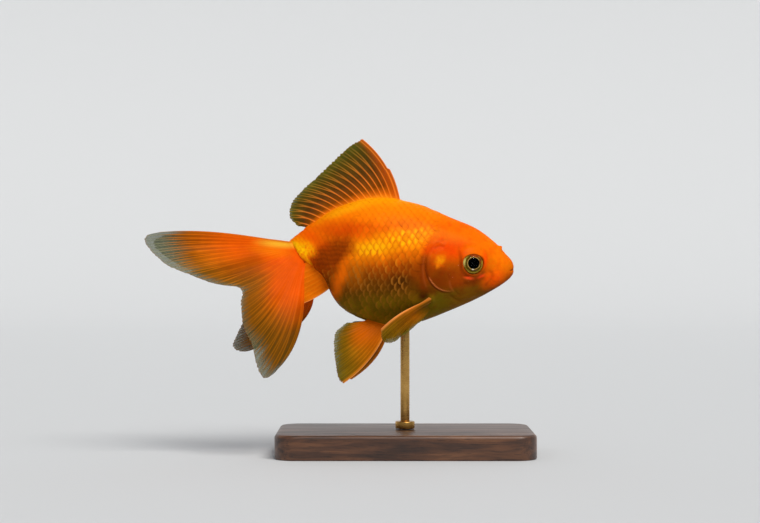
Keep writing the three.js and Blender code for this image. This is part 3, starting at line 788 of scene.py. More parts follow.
def relief(places, out):
    """Height over the smooth body, painted shade in creases and painted highlight along rims, for points of
    the skin.
    """
    x, z = places[:, 0], places[:, 2]
    seen = np.clip(np.abs(out) * 1.6, 0, 1)  # folds drawn from the side fade out at the midline
    rise, crease, rim = np.zeros(len(x)), np.zeros(len(x)), np.zeros(len(x))
    side_view = places[:, [0, 2]]
    for _, line, width, height, tint in FOLDS:
        gap, share = from_line(side_view, line)
        fade = step(0, 0.18, share) * step(1, 0.82, share) * mound(gap, width) * seen
        rise += height * fade
        # Narrow grooves are darkened with painted shade.
        if width < 1:
            crease += np.maximum(-height, 0) * 1.2 * fade
        rim += tint * fade
    # The gill cover: a plate with a free rear edge, a gap behind it and a bead along the edge.
    # Painted shade lies in the gap, and a painted highlight along the lower part of the bead.
    reach_x, reach_z = (x - GILL["x"]) / GILL["length"], (z - GILL["z"]) / GILL["height"]
    inside = (1 - np.hypot(reach_x, reach_z)) * (GILL["length"] + GILL["height"]) / 2
    rear = step(20.5, 16.5, x) * seen * (0.26 + 0.74 * step(4.0, -3.5, z))
    rise += rear * (0.2 * step(-0.15, 0.35, inside) - 0.26 * mound(inside + 0.4, 0.33))
    rise += rear * 0.06 * mound(inside - 0.3, 0.25)
    crease += 0.6 * rear * mound(inside + 0.35, 0.26)
    rim += 0.95 * rear * mound(inside - 0.16, 0.15) * step(-4.4, -5.8, z)
    # The front paired fin stands on a knob, and behind the knob the skin is hollow.
    rise += 0.6 * seen * mound(np.hypot(x - FIN_KNOB[0], z - FIN_KNOB[1]), 1.1)
    rise -= 0.8 * seen * mound(np.hypot(0.8 * (x - FIN_HOLLOW[0]), z - FIN_HOLLOW[1]), 1.3)
    # The mouth: a slit between two rounded lips, with painted shade along the slit.
    off = z - mouth_line(x)
    front = step(MOUTH_CORNER, MOUTH_OPENS, x)
    rise += front * (0.2 * mound(off - 1.3, 1.1) + 0.2 * mound(off + 0.9, 0.6) - 0.55 * mound(off, 0.24))
    crease += 0.45 * front * mound(off, 0.18)
    return rise, np.clip(crease, 0, 0.85), np.clip(rim, 0, 0.9)


def skin_spacing():
    """Rings and sides of the skin, closest at the eye, the mouth and the gill cover."""
    eye_and_mouth = [[-41, 0.2], [-35, 0.22], [-32, 0.2], [-23, 0.2]]
    spacing = through(eye_and_mouth + [[-20, 0.3], [-10, 0.34], [0, 0.5], [18, 0.5], [34, 0.42]])
    x = np.linspace(SECTIONS[0][0], SECTIONS[LAST][0], 3000)
    rings = np.concatenate([[0], np.cumsum(np.diff(-x) / spacing(-x[1:])[:, 0])])
    angle = np.linspace(0, 2 * math.pi, 3000)
    from_flank = np.abs(np.abs(angle - math.pi) - math.radians(83))
    fine = 0.021 + 0.014 * step(math.radians(34), math.radians(50), from_flank)
    sides = np.concatenate([[0], np.cumsum(np.diff(angle) / fine[1:])])
    return x, rings, angle, sides


def fin_roots():
    """Base line of each fin on the body, with the width and height of the flesh heaped on it."""
    lines = [(DORSAL, 1.3, 0.55), (PECTORAL, 1.2, 0.6), (PELVIC, 1.5, 0.5), (ANAL, 1.2, 0.5)]
    for shape, width, height in lines:
        rows = through(shape["base"])(np.linspace(0, 1, 24))
        for side in (1, -1) if shape is not DORSAL else (1,):
            yield rows * [1, side, 1], width, height


def body_skin(material):
    x_table, rings, angle_table, sides = skin_spacing()
    ring_count, side_count = int(rings[-1]), int(sides[-1])
    kept = {}

    def place(u, v):
        x = np.interp(v * rings[-1], rings, x_table)
        angle = np.interp(u * sides[-1], sides, angle_table)
        along = along_at(x)
        points, normals = body_point(along, angle), body_normal(along, angle)
        rise, crease, rim = relief(points, np.sin(angle))
        scaled = step(1.5, -3.0, points[:, 0] - scale_border(points[:, 2]))
        rise -= SCALE_DEPTH * scaled
        for line, width, height in fin_roots():
            line = line + np.stack([0 * line[:, 0], sway(line[:, 0]), 0 * line[:, 0]], -1)
            gap = np.full(len(points), 1e9)
            for spot in line:
                gap = np.minimum(gap, np.linalg.norm(points - spot, axis=1))
            rise += height * mound(gap, width)
        # The nostrils: on each side a pit, and behind it a small standing flap; painted shade darkens the
        # pit.
        for side in (-1, 1):
            pit, flap = (points - np.multiply(spot, [1, side, 1]) for spot in (NOSTRIL_PIT, NOSTRIL_FLAP))
            pit = np.linalg.norm(pit, axis=1)
            flap = np.linalg.norm(flap * [1.5, 0.8, 1.0], axis=1)
            rise += 1.15 * mound(flap, 0.95) - 0.5 * mound(pit, 0.5)
            crease = np.maximum(crease, 0.8 * mound(pit, 0.45))
        points = points + normals * rise[:, None]
        # The wall beside each eyeball gets painted shade.
        points, socket = eye_sockets(points)
        crease = np.maximum(crease, socket)
        # Both ends close: the snout on a point, the stalk on a slanting edge.
        snout = step(40.45, 40.7, x)[:, None]
        points = points * (1 - snout) + np.array(SNOUT_TIP) * snout
        kept.update(crease=crease, rim=rim)
        return stalk_end(points)

    piece = grid("body_skin", side_count, ring_count, place)
    note(piece, **kept)
    piece.data.uv_layers[0].name = "OFBake"
    closed(piece)
    replaced = ["head", "trunk", "tail_stalk", "gill_cover_right", "gill_cover_left"]
    replaced += ["nostril_flap_right", "nostril_flap_left"]
    return finished(piece, material, "skin", *replaced)


def eye_sockets(points):
    """Opens the skin round each eye: a low lip, then a wall that drops beside the eyeball, under a lid;
    also gives painted shade for that wall.
    """
    shade = np.zeros(len(points))
    for side in (-1, 1):
        centre, look = eye_frame(side)
        offset = points - centre
        height = offset @ look
        radius = np.linalg.norm(offset - height[:, None] * look, axis=1)
        here = (height > -4) & (radius < 8)
        lid = step(1.2, 3.4, offset[:, 2]) * step(5.5, 3.0, radius)
        radius = radius + EYELID * lid
        lip = 0.3 * mound(radius - EYE_RADIUS - 0.55, 0.45) - 0.12 * mound(radius - EYE_RADIUS - 1.7, 0.7)
        drop = step(EYE_RADIUS + 0.2, EYE_RADIUS - 0.12, radius)
        sunk = np.where(here, lip + 0.25 * lid - drop * (height + 1.2), 0)
        points = points + sunk[:, None] * look
        # Painted shade on the wall beside the eyeball.
        shade = np.maximum(shade, np.where(here, 0.45 * step(EYE_RADIUS + 0.2, EYE_RADIUS, radius), 0))
    return points, shade


def stalk_end(points):
    """Shears the last stretch of the stalk so that it ends on its slanting line, narrowing to an edge."""
    x, y, z = points.T
    (top_x, top_z), (low_x, low_z) = STALK_TOP, STALK_LOW
    end_x = low_x + (top_x - low_x) * (z - low_z) / (top_z - low_z)
    share = np.clip((STALK_X - x) / (STALK_X - SECTIONS[LAST][0]), 0, 1)
    moved = np.where(share > 0, STALK_X + (end_x - STALK_X) * share, x)
    middle = sway(x)
    narrow = np.sqrt(np.clip(1 - step(0.72, 1.0, share) ** 2, 0, 1))
    y = sway(moved) + (y - middle) * narrow
    return np.stack([moved, y, z], -1)


# ------------------------------------------------------------------ scales

# Where the scales begin behind the head, by height.
BORDER = [[-24, 14.5], [-16, 12.0], [-10, 9.2], [-5, 9.0], [0, 10.4], [6, 12.6], [12, 15.8], [19, 17.5]]


def scale_border(z):
    return through(BORDER)(np.clip(z, BORDER[0][0], BORDER[-1][0]))[..., 0]


lateral_line = through([[-34, 3.4], [-26, 3.6], [-18, 2.4], [-10, 1.2], [0, 1.4], [8, 2.8], [16, 5.0]])
row_pitch = through([[-34, 1.2], [-28, 1.35], [-20, 1.6], [-10, 1.82], [0, 1.92], [16, 1.92]])
column_pitch = through([[-34, 1.3], [-28, 1.45], [-20, 1.75], [-10, 2.0], [0, 2.1], [16, 2.15]])
FAN = 0.007  # how much faster the columns spread below the lateral line, for each millimetre
TABLE_STEP = 0.25


class Flank:
    """One side of the body as a sheet, folds and all, by x and by distance round from the lateral line."""

    def __init__(self, side):
        self.x = np.arange(-33.9, 20.0, TABLE_STEP)
        self.reach = np.arange(-34, 30, TABLE_STEP)
        angle = np.linspace(0.0005, math.pi - 0.0005, 500)
        along = along_at(self.x)
        shape = (len(self.x), len(self.reach), 3)
        self.points, self.normals = np.empty(shape), np.empty(shape)
        self.top, self.low = np.empty(len(self.x)), np.empty(len(self.x))
        line_z = lateral_line(self.x)[:, 0]
        for i, spot in enumerate(along):
            ring = body_point(np.full(len(angle), spot), side * angle)
            girth = np.concatenate([[0], np.cumsum(np.linalg.norm(np.diff(ring, axis=0), axis=1))])
            at_line = np.interp(-line_z[i], -ring[:, 2], girth)
            self.top[i], self.low[i] = at_line, at_line - girth[-1]
            turned = np.interp(at_line - self.reach, girth, angle)
            smooth = body_point(np.full(len(turned), spot), side * turned)
            self.normals[i] = body_normal(np.full(len(turned), spot), side * turned)
            rise, _, _ = relief(smooth, np.sin(turned))
            self.points[i] = smooth + self.normals[i] * rise[:, None]

    def lay(self, x, reach, height):
        """Points over the sheet at x and reach, height above the body's surface."""
        i = np.clip((x - self.x[0]) / TABLE_STEP, 0, len(self.x) - 1.001)
        j = np.clip((reach - self.reach[0]) / TABLE_STEP, 0, len(self.reach) - 1.001)
        i0, j0 = i.astype(int), j.astype(int)
        fi, fj = (i - i0)[..., None], (j - j0)[..., None]

        def read(table):
            near = table[i0, j0] * (1 - fj) + table[i0, j0 + 1] * fj
            far = table[i0 + 1, j0] * (1 - fj) + table[i0 + 1, j0 + 1] * fj
            return near * (1 - fi) + far * fi

        return read(self.points) + unit(read(self.normals)) * height[..., None]


def scale_plate():
    """One scale as a closed plate: x from root to free edge, y across, z from underside to top."""
    bpy.ops.object.select_all(action="DESELECT")
    bpy.ops.mesh.primitive_grid_add(x_subdivisions=3, y_subdivisions=8, size=2)
    plate = bpy.context.object
    solid = plate.modifiers.new("thickness", "SOLIDIFY")
    solid.thickness, solid.offset = 1.0, 0.0
    bpy.ops.object.modifier_apply(modifier=solid.name)
    corners = np.empty(len(plate.data.vertices) * 3)
    plate.data.vertices.foreach_get("co", corners)
    faces = [list(face.vertices) for face in plate.data.polygons]
    bpy.data.objects.remove(plate)
    corners = corners.reshape(-1, 3)
    share = np.interp(corners[:, 0], np.linspace(-1, 1, 4), [0, 0.6, 0.88, 1])
    across = np.sin(corners[:, 1] * math.pi / 2)
    edge = np.maximum(step(0.92, 1, share), step(0.85, 1, np.abs(corners[:, 1])))
    return share, across, corners[:, 2] > 0, edge, faces


def scale_places(flank):
    """Root of every scale on one side: x and reach, in staggered rows from the gill to the tail."""
    xs, reaches = [], []
    stations = [18.5]
    while stations[-1] > -33.0:
        stations.append(stations[-1] - column_pitch(stations[-1])[0] / 2)
    for row in range(-19, 16):
        for number, station in enumerate(stations):
            if (number + row) % 2:
                continue
            x = station
            reach = row * row_pitch(x)[0]
            x += (station - 12) * FAN * max(-reach, 0)
            top, low = np.interp(x, flank.x, flank.top), np.interp(x, flank.x, flank.low)
            z = flank.lay(np.array([x]), np.array([reach]), np.zeros(1))[0, 2]
            half = row_pitch(x)[0]
            if low + 0.3 * half < reach < top - 0.3 * half and x < scale_border(z) + 0.6 and x > -33.5:
                xs.append(x)
                reaches.append(reach)
    return np.array(xs), np.array(reaches)


def scales(name, side, material):
    """All the scales of one side, laid like tiles: each one's free edge lifts over the roots behind it."""
    flank = Flank(side)
    share, across, upper, edge, faces = scale_plate()
    x, reach = scale_places(flank)
    count = len(x)
    length = SCALE_LENGTH * column_pitch(x)[:, 0] * rng.uniform(0.96, 1.05, count)
    wide = SCALE_WIDTH * row_pitch(x)[:, 0] * rng.uniform(0.97, 1.04, count)
    turn = rng.normal(0, 0.05, count)
    tilt = rng.normal(0, 0.03, count)
    tone = rng.normal(1.0, 0.11, count).clip(0.76, 1.26)
    # A D-shaped outline: straight sides from the root, then half an ellipse.
    reach_back = share * (0.5 + 0.5 * np.sqrt(np.clip(1 - across**2, 0, 1)))
    back = length[:, None] * (reach_back[None] - 0.42)
    out = wide[:, None] * across[None]
    back, out = back - turn[:, None] * out, out + turn[:, None] * back
    dome = 0.1 * (1 - across**2)[None] - 0.05 * edge[None]
    lift = SCALE_DEPTH * (0.7 * reach_back[None] ** 1.3 - 0.6) + dome * reach_back[None]
    spots = flank.lay(x, reach, np.zeros(count))
    full = step(1.5, -3.5, x - scale_border(spots[:, 2]))
    full = full * (0.2 + 0.8 * step(15.0, 8.0, spots[:, 2]))
    full = full * (1 - 0.6 * step(-13.5, -18.5, x) * step(-1.5, 2.5, spots[:, 2]))
    # Roots lie in the skin, deepest in the first rows, which come out of it gradually.
    sunk = (0.5 - 0.34 * full)[:, None] * (1 - share[None]) ** 2
    lift = lift * (0.3 + 0.7 * full)[:, None] + 0.02 - sunk
    lift = lift + tilt[:, None] * out * 0.5 - np.where(upper, 0, SCALE_THICK)[None]
    top, low = np.interp(x, flank.x, flank.top), np.interp(x, flank.x, flank.low)
    at_reach = np.clip(reach[:, None] + out, low[:, None] + 0.02, top[:, None] - 0.02)
    at_x = np.maximum(x[:, None] - back, -33.8)
    points = flank.lay(at_x, at_reach, lift)
    points = stalk_end(points.reshape(-1, 3))
    size = len(share)
    mesh = bpy.data.meshes.new(name)
    shifts = (np.arange(count) * size)[:, None, None]
    # The plate is a grid of quads all over.
    quads = (np.array(faces)[None] + shifts).reshape(-1, 4)
    mesh.from_pydata(to_world(points).tolist(), [], quads.tolist())
    piece = bpy.data.objects.new(name, mesh)
    bpy.context.scene.collection.objects.link(piece)
    note(
        piece,
        share=np.tile(share, count),
        across=np.tile(across, count),
        tone=np.repeat(tone, size),
        free=np.repeat(full, size),
    )
    # The bake's map: each scale is a small patch at its root's place on the unrolled flank.
    patch_size = 0.003  # of one scale, as a share of the map
    behind, flank_length, flank_girth = 35, 56, 66  # millimetres of flank on the map
    centre_u = (x + behind) / flank_length
    centre_v = (reach + behind) / flank_girth
    u = (centre_u[:, None] - patch_size * (reach_back[None] - 0.5)).ravel()
    v = (centre_v[:, None] + patch_size / 2 * across[None]).ravel()
    corners = np.empty(len(mesh.loops), int)
    mesh.loops.foreach_get("vertex_index", corners)
    chart = mesh.uv_layers.new(name="OFBake")
    chart.data.foreach_set("uv", np.stack([u, v], -1)[corners].ravel())
    closed(piece, merge=False, crisp=math.radians(40))
    return finished(piece, material, "skin")


# ------------------------------------------------------------------ fins

# Each fin is a fan. base and margin run from the leading ray (0) to the last one (1):
# [share of the way, x, y, z]. bow is how far the rays bend out of straight, most at the middle or, where
# late is above 1, nearer the margin. clear says from what share of a ray's length the colour is gone.
DORSAL = {
    "rays": 17,
    "web": 0.9,
    "front": 1.7,  # how wide its orange front edge is
    "base": [[0, 2.9, 0, 20.0], [0.3, -5.0, 0, 20.6], [0.65, -16.0, 0, 17.6], [1, -26.6, 0, 11.0]],
    "margin": [
        [0, -9.1, 0, 40.5],
        [0.12, -13.0, 0.1, 38.4],
        [0.25, -17.2, 0.2, 34.6],
        [0.45, -23.4, 0.3, 28.6],
        [0.65, -29.4, 0.2, 23.0],
        [0.8, -32.6, 0.1, 18.6],
        [0.92, -32.9, 0, 14.6],
        [1, -30.4, 0, 11.7],
    ],
    "bow": [[0, 2.0, 0, 1.2], [0.3, 1.4, 0.3, 0.9], [0.9, 0.4, 0.2, 0.8], [1, 0.2, 0.1, 0.2]],
    "clear": [[0, 1.2], [0.2, 1.12], [0.5, 1.04], [0.8, 0.98], [1, 0.96]],
    "spine": (0.46, 0.55),  # its length as a share of the leading ray's, and how far it stands ahead
}
TAIL_RIGHT = {
    "rays": 27,
    "web": 0.45,
    "front": 0.7,
    "base": [[0, -32.2, -1.3, 6.6], [0.5, -30.0, -1.4, 3.1], [1, -27.7, -1.4, -0.6]],
    "margin": [
        [0, -74.4, -4.6, 9.6],
        [0.05, -78.2, -4.8, 8.6],
        [0.1, -78.9, -5.0, 6.6],
        [0.18, -76.2, -5.2, 2.7],
        [0.27, -71.6, -5.8, -1.2],
        [0.36, -64.6, -6.3, -4.2],
        [0.44, -55.8, -6.9, -7.1],
        [0.5, -48.4, -7.4, -8.7],
        [0.58, -48.1, -9.2, -13.6],
        [0.68, -47.2, -11.4, -20.6],
        [0.8, -44.2, -13.4, -27.0],
        [0.87, -42.7, -14.6, -32.9],
        [0.91, -41.6, -15.0, -35.6],
        [0.944, -39.9, -15.3, -37.3],
        [0.972, -37.1, -15.3, -35.8],
        [1, -34.6, -15.0, -33.4],
    ],
    "bow": [
        [0, 0, 0, 1.4],
        [0.25, 0, -0.2, 0.6],
        [0.5, 0.6, -0.6, -0.8],
        [0.75, 1.6, -2.2, -0.6],
        [1, 3.3, -3.4, 0],
    ],
    "late": 1.5,
    "clear": [
        [0, 0.86],
        [0.1, 0.81],
        [0.18, 0.83],
        [0.27, 0.89],
        [0.4, 0.97],
        [0.7, 0.98],
        [0.85, 0.93],
        [1, 0.96],
    ],
}
TAIL_LEFT = {
    "rays": 27,
    "web": 0.45,
    "front": 0.7,
    "base": [[0, -32.2, 1.3, 6.6], [0.5, -30.0, 1.4, 3.1], [1, -28.0, 1.4, -0.4]],
    "margin": [
        [0, -73.6, 5.0, 8.8],
        [0.06, -77.2, 5.4, 7.0],
        [0.14, -76.2, 5.8, 4.0],
        [0.28, -69.0, 6.6, -1.2],
        [0.4, -58.6, 7.6, -5.2],
        [0.5, -49.2, 8.4, -8.0],
        [0.6, -48.9, 10.6, -13.4],
        [0.72, -49.1, 12.6, -19.8],
        [0.8, -51.2, 13.8, -24.2],
        [0.88, -52.5, 14.9, -28.4],
        [0.93, -50.7, 15.3, -29.9],
        [0.97, -47.2, 15.4, -29.9],
        [1, -43.6, 15.2, -28.0],
    ],
    "bow": [[0, 0, 0, 1.0], [0.5, 0.8, 0.6, -1.0], [0.75, 4.0, 2.6, -2.0], [1, 8.9, 4.0, -2.6]],
    "clear": [[0, 0.86], [0.12, 0.82], [0.3, 0.9], [0.5, 0.97], [0.7, 0.98], [0.85, 0.95], [1, 0.97]],
}
ANAL = {
    "rays": 8,
    "front": 0.5,
    "base": [[0, -19.2, -0.9, -8.2], [0.6, -22.0, -1.0, -3.6], [1, -26.6, -1.1, 0.4]],
    "margin": [
        [0, -33.6, -2.4, -15.2],
        [0.3, -36.6, -2.6, -13.2],
        [0.65, -37.0, -2.6, -8.6],
        [1, -34.2, -2.2, -2.4],
    ],
    "bow": [[0, 0.6, -0.3, -0.8], [1, 0.2, -0.3, -0.4]],
    "clear": [[0, 1.2], [1, 1.2]],
}
PECTORAL = {
    "rays": 14,
    "web": 0.6,
    "front": 0.9,
    "knob": 0.1,
    "base": [
        [0, 12.0, -11.2, -12.4],
        [0.04, 12.9, -11.5, -11.6],
        [0.09, 13.5, -11.4, -11.6],
        [0.16, 13.5, -11.0, -12.3],
        [0.4, 13.2, -9.6, -12.8],
        [1, 14.0, -7.4, -14.2],
    ],
    "margin": [
        [0, -3.1, -17.2, -21.6],
        [0.12, -2.9, -17.1, -23.9],
        [0.3, -2.0, -16.6, -25.8],
        [0.55, 1.3, -15.6, -25.6],
        [0.8, 5.8, -13.6, -22.4],
        [1, 9.7, -12.0, -19.4],
    ],
    "bow": [[0, 0.2, -1.6, 1.4], [1, 0.1, -0.6, 0.1]],
    "late": 1.6,
    "clear": [[0, 1.2], [0.3, 1.0], [0.6, 0.92], [1, 0.86]],
}
PELVIC = {
    "rays": 14,
    "web": 0.6,
    "front": 0.8,
    "base": [[0, -0.3, -4.6, -19.9], [1, -6.2, -4.0, -18.6]],
    "margin": [
        [0, -15.2, -9.3, -39.3],
        [0.1, -16.5, -9.7, -38.2],
        [0.3, -17.5, -9.9, -34.4],
        [0.55, -18.2, -9.5, -28.2],
        [0.8, -17.7, -8.6, -22.9],
        [1, -14.2, -6.8, -19.7],
    ],
    "bow": [[0, 1.9, -1.6, -1.1], [0.5, 0.3, -1.0, -0.4], [1, 0, -0.6, -0.4]],
    "clear": [[0, 1.1], [0.3, 0.98], [0.7, 0.92], [1, 0.88]],
}
PELVIC_AHEAD = 2.2  # the left pelvic fin is held this much further forward

WEB_HALF = 0.055  # half thickness of the web
FORKS = (0.42, 0.74)  # where a ray forks, and where its branches fork again
FORK_APART = (0.2, 0.085)  # how far the branches part at each fork, as shares of the rays' spacing


def mirrored(shape, forward=0.0):
    """The same fin on the left side, its margin held further forward."""
    ahead = {"base": 0.0, "margin": forward, "bow": forward / 2}
    flipped = {k: [[s, x + a, -y, z] for s, x, y, z in shape[k]] for k, a in ahead.items()}
    return {**shape, **flipped}


def fan_point(shape, share, out):
    root, edge, bow = (through(shape[key])(share) for key in ("base", "margin", "bow"))
    late = shape.get("late", 1)
    most = (late / (late + 1)) ** late / (late + 1)
    out = out[..., None]
    place = root * (1 - out) + edge * out + bow * (np.maximum(out, 0) ** late * (1 - out) / most)
    place[..., 1] += sway(place[..., 0])
    return place


def fin(name, shape, columns, rows, material, nodes, ripple=0.3, ray_half=0.16, lean=1.0):
    """A fin: a web over forked rays, scalloped at its margin, given its thickness by a Solidify modifier."""
    count = shape["rays"]
    tip = rng.uniform(-1, 1, count * 4 + 1)
    # Between the rays the web is dark, more in some gaps than in others, and starts so at its own place.
    darkness = rng.uniform(shape.get("web", 0.7), 1, count * 4 + 1)
    begins = rng.uniform(-0.1, 0.35, count * 4 + 1) * (1 - shape.get("web", 0.7)) * 2
    first_fork = FORKS[0] + rng.uniform(-0.08, 0.08, count)
    second_fork = FORKS[1] + rng.uniform(-0.07, 0.07, count)
    first_fork[0] = second_fork[0] = first_fork[1] = second_fork[1] = 2.0  # the leading rays don't fork
    waves = rng.uniform(0, 2 * math.pi, 4)
    kept = {}

    def place(u, v):
        share = u**lean
        tips = np.interp(u * count * 4, np.arange(count * 4 + 1), tip)
        scallop = 0.5 + 0.5 * np.cos(2 * math.pi * count * 2 * u)
        reach = np.linalg.norm(fan_point(shape, share, v * 0 + 1) - fan_point(shape, share, v * 0), axis=1)
        out = v * (1 - step(0.8, 1, v) * (0.16 * scallop + 0.14 * (tips + 1)) / reach)
        points = fan_point(shape, share, out)
        tiny = 0.003
        across = fan_point(shape, share + tiny, out) - fan_point(shape, share - tiny, out)
        outward = fan_point(shape, share, out + tiny) - fan_point(shape, share, out - tiny)
        normal = unit(np.cross(across, outward))
        span = np.linalg.norm(across, axis=1) / (2 * tiny)
        length = np.linalg.norm(outward, axis=1) / (2 * tiny)
        # Distance from the nearest branch of the nearest ray.
        cell = np.minimum((u * count).astype(int), count - 1)
        cell_width = span * (lean * np.maximum(u, 0.02) ** (lean - 1)) / count
        forked = FORK_APART[0] * step(first_fork[cell], first_fork[cell] + 0.45, out)
        forked_again = FORK_APART[1] * step(second_fork[cell], second_fork[cell] + 0.32, out)
        off = np.abs(np.abs(np.abs(u * count - cell - 0.5) - forked) - forked_again) * cell_width
        lines = 1 + forked / FORK_APART[0] + 2 * forked_again / FORK_APART[1]
        half = np.clip((0.28 - 0.1 * out) * cell_width / lines, 0.05, 0.26)
        ray = step(half * 1.15, half * 0.3, off)
        round_ = np.sqrt(np.clip(1 - (off / (1.4 * half)) ** 2, 0, 1))
        thick = WEB_HALF + ray_half * round_ * (1 - 0.8 * np.clip(out, 0, 1)) * np.clip(half / 0.2, 0.5, 1)
        if "spine" in shape:
            # A short first spine stands against the leading ray and ends in a step.
            end, ahead = shape["spine"]
            push = ahead * step(end + 0.012, end - 0.012, out) * mound(share * span, 0.9)
            points = points - unit(across) * push[:, None]
        lead = mound(share * span, 0.3)
        thick = thick + 0.14 * lead * (1 - 0.6 * out)
        knob = shape.get("knob", 0) * mound(share * span, 0.8)
        thick = thick + (0.42 + knob) * np.exp(-np.maximum(out, 0) * length / 1.5)
        # The root closes round.
        thick = thick * np.sqrt(np.clip(1 - (1 - np.clip(v * reach / 0.6, 0, 1)) ** 2, 0.02, 1))
        # Soft folds along the rays, deeper towards the margin.
        fold = np.sin(2 * math.pi * 3.3 * u + waves[0]) + 0.6 * np.sin(2 * math.pi * 7.1 * u + waves[1])
        fold = fold + 0.35 * np.sin(2 * math.pi * (5 * u + 1.3 * out) + waves[2])
        points = points + normal * (ripple * fold * np.clip(out, 0, 1) ** 1.6)[:, None]
        clear_from = through(shape["clear"])(share)[:, 0] + 0.025 * tips
        clear = step(clear_from - 0.12, clear_from + 0.08, out) * (1 - ray)
        clear = clear + step(clear_from - 0.06, clear_from + 0.14, out + 0.05 * tips) * ray
        # A painted highlight along the leading edge, and a fainter one along the margin.
        rim = np.maximum(0.6 * mound(share * span, 0.2), 0.2 * mound((1 - v) * length, 0.16))
        rim = rim * step(0.0, 0.16, out)
        gap, begin = (np.interp(u * count * 4, np.arange(count * 4 + 1), t) for t in (darkness, begins))
        shown = 1 - (1 - ray) * gap * step(begin, begin + 0.2, out + 0.1)
        kept.update(out=np.clip(out, 0, 1), ray=np.maximum(shown, lead * 0.9), clear=clear, rim=rim)
        kept.update(lead=0.9 * mound(share * span, shape["front"]), thick=thick)
        return points

    piece = grid(name, columns, rows, place)
    thickest = kept.pop("thick")
    most = thickest.max()
    note(piece, **kept)
    group = piece.vertex_groups.new(name="thickness")
    levels = np.round(thickest / most * 200).astype(int)
    for level in np.unique(levels):
        group.add(np.flatnonzero(levels == level).tolist(), level / 200, "REPLACE")
    alone(piece)
    solid = piece.modifiers.new("thickness", "SOLIDIFY")
    solid.thickness, solid.offset, solid.vertex_group = 2 * most * MM, 0.0, group.name
    front_faces = len(piece.data.polygons)
    bpy.ops.object.modifier_apply(modifier=solid.name)
    piece.vertex_groups.clear()
    # The bake's map: one side of the fin on the left half, the other on the right half.
    chart = piece.data.uv_layers[0]
    chart.name = "OFBake"
    uv = np.empty(len(piece.data.loops) * 2)
    chart.data.foreach_get("uv", uv)
    uv = uv.reshape(-1, 2) * [0.5, 1.0]
    sizes = np.array([face.loop_total for face in piece.data.polygons])
    first = sizes[:front_faces].sum()
    uv[first : first + sizes[front_faces : 2 * front_faces].sum(), 0] += 0.5
    chart.data.foreach_set("uv", uv.ravel())
    closed(piece, merge=False)
    return finished(piece, material, "fin", *nodes)


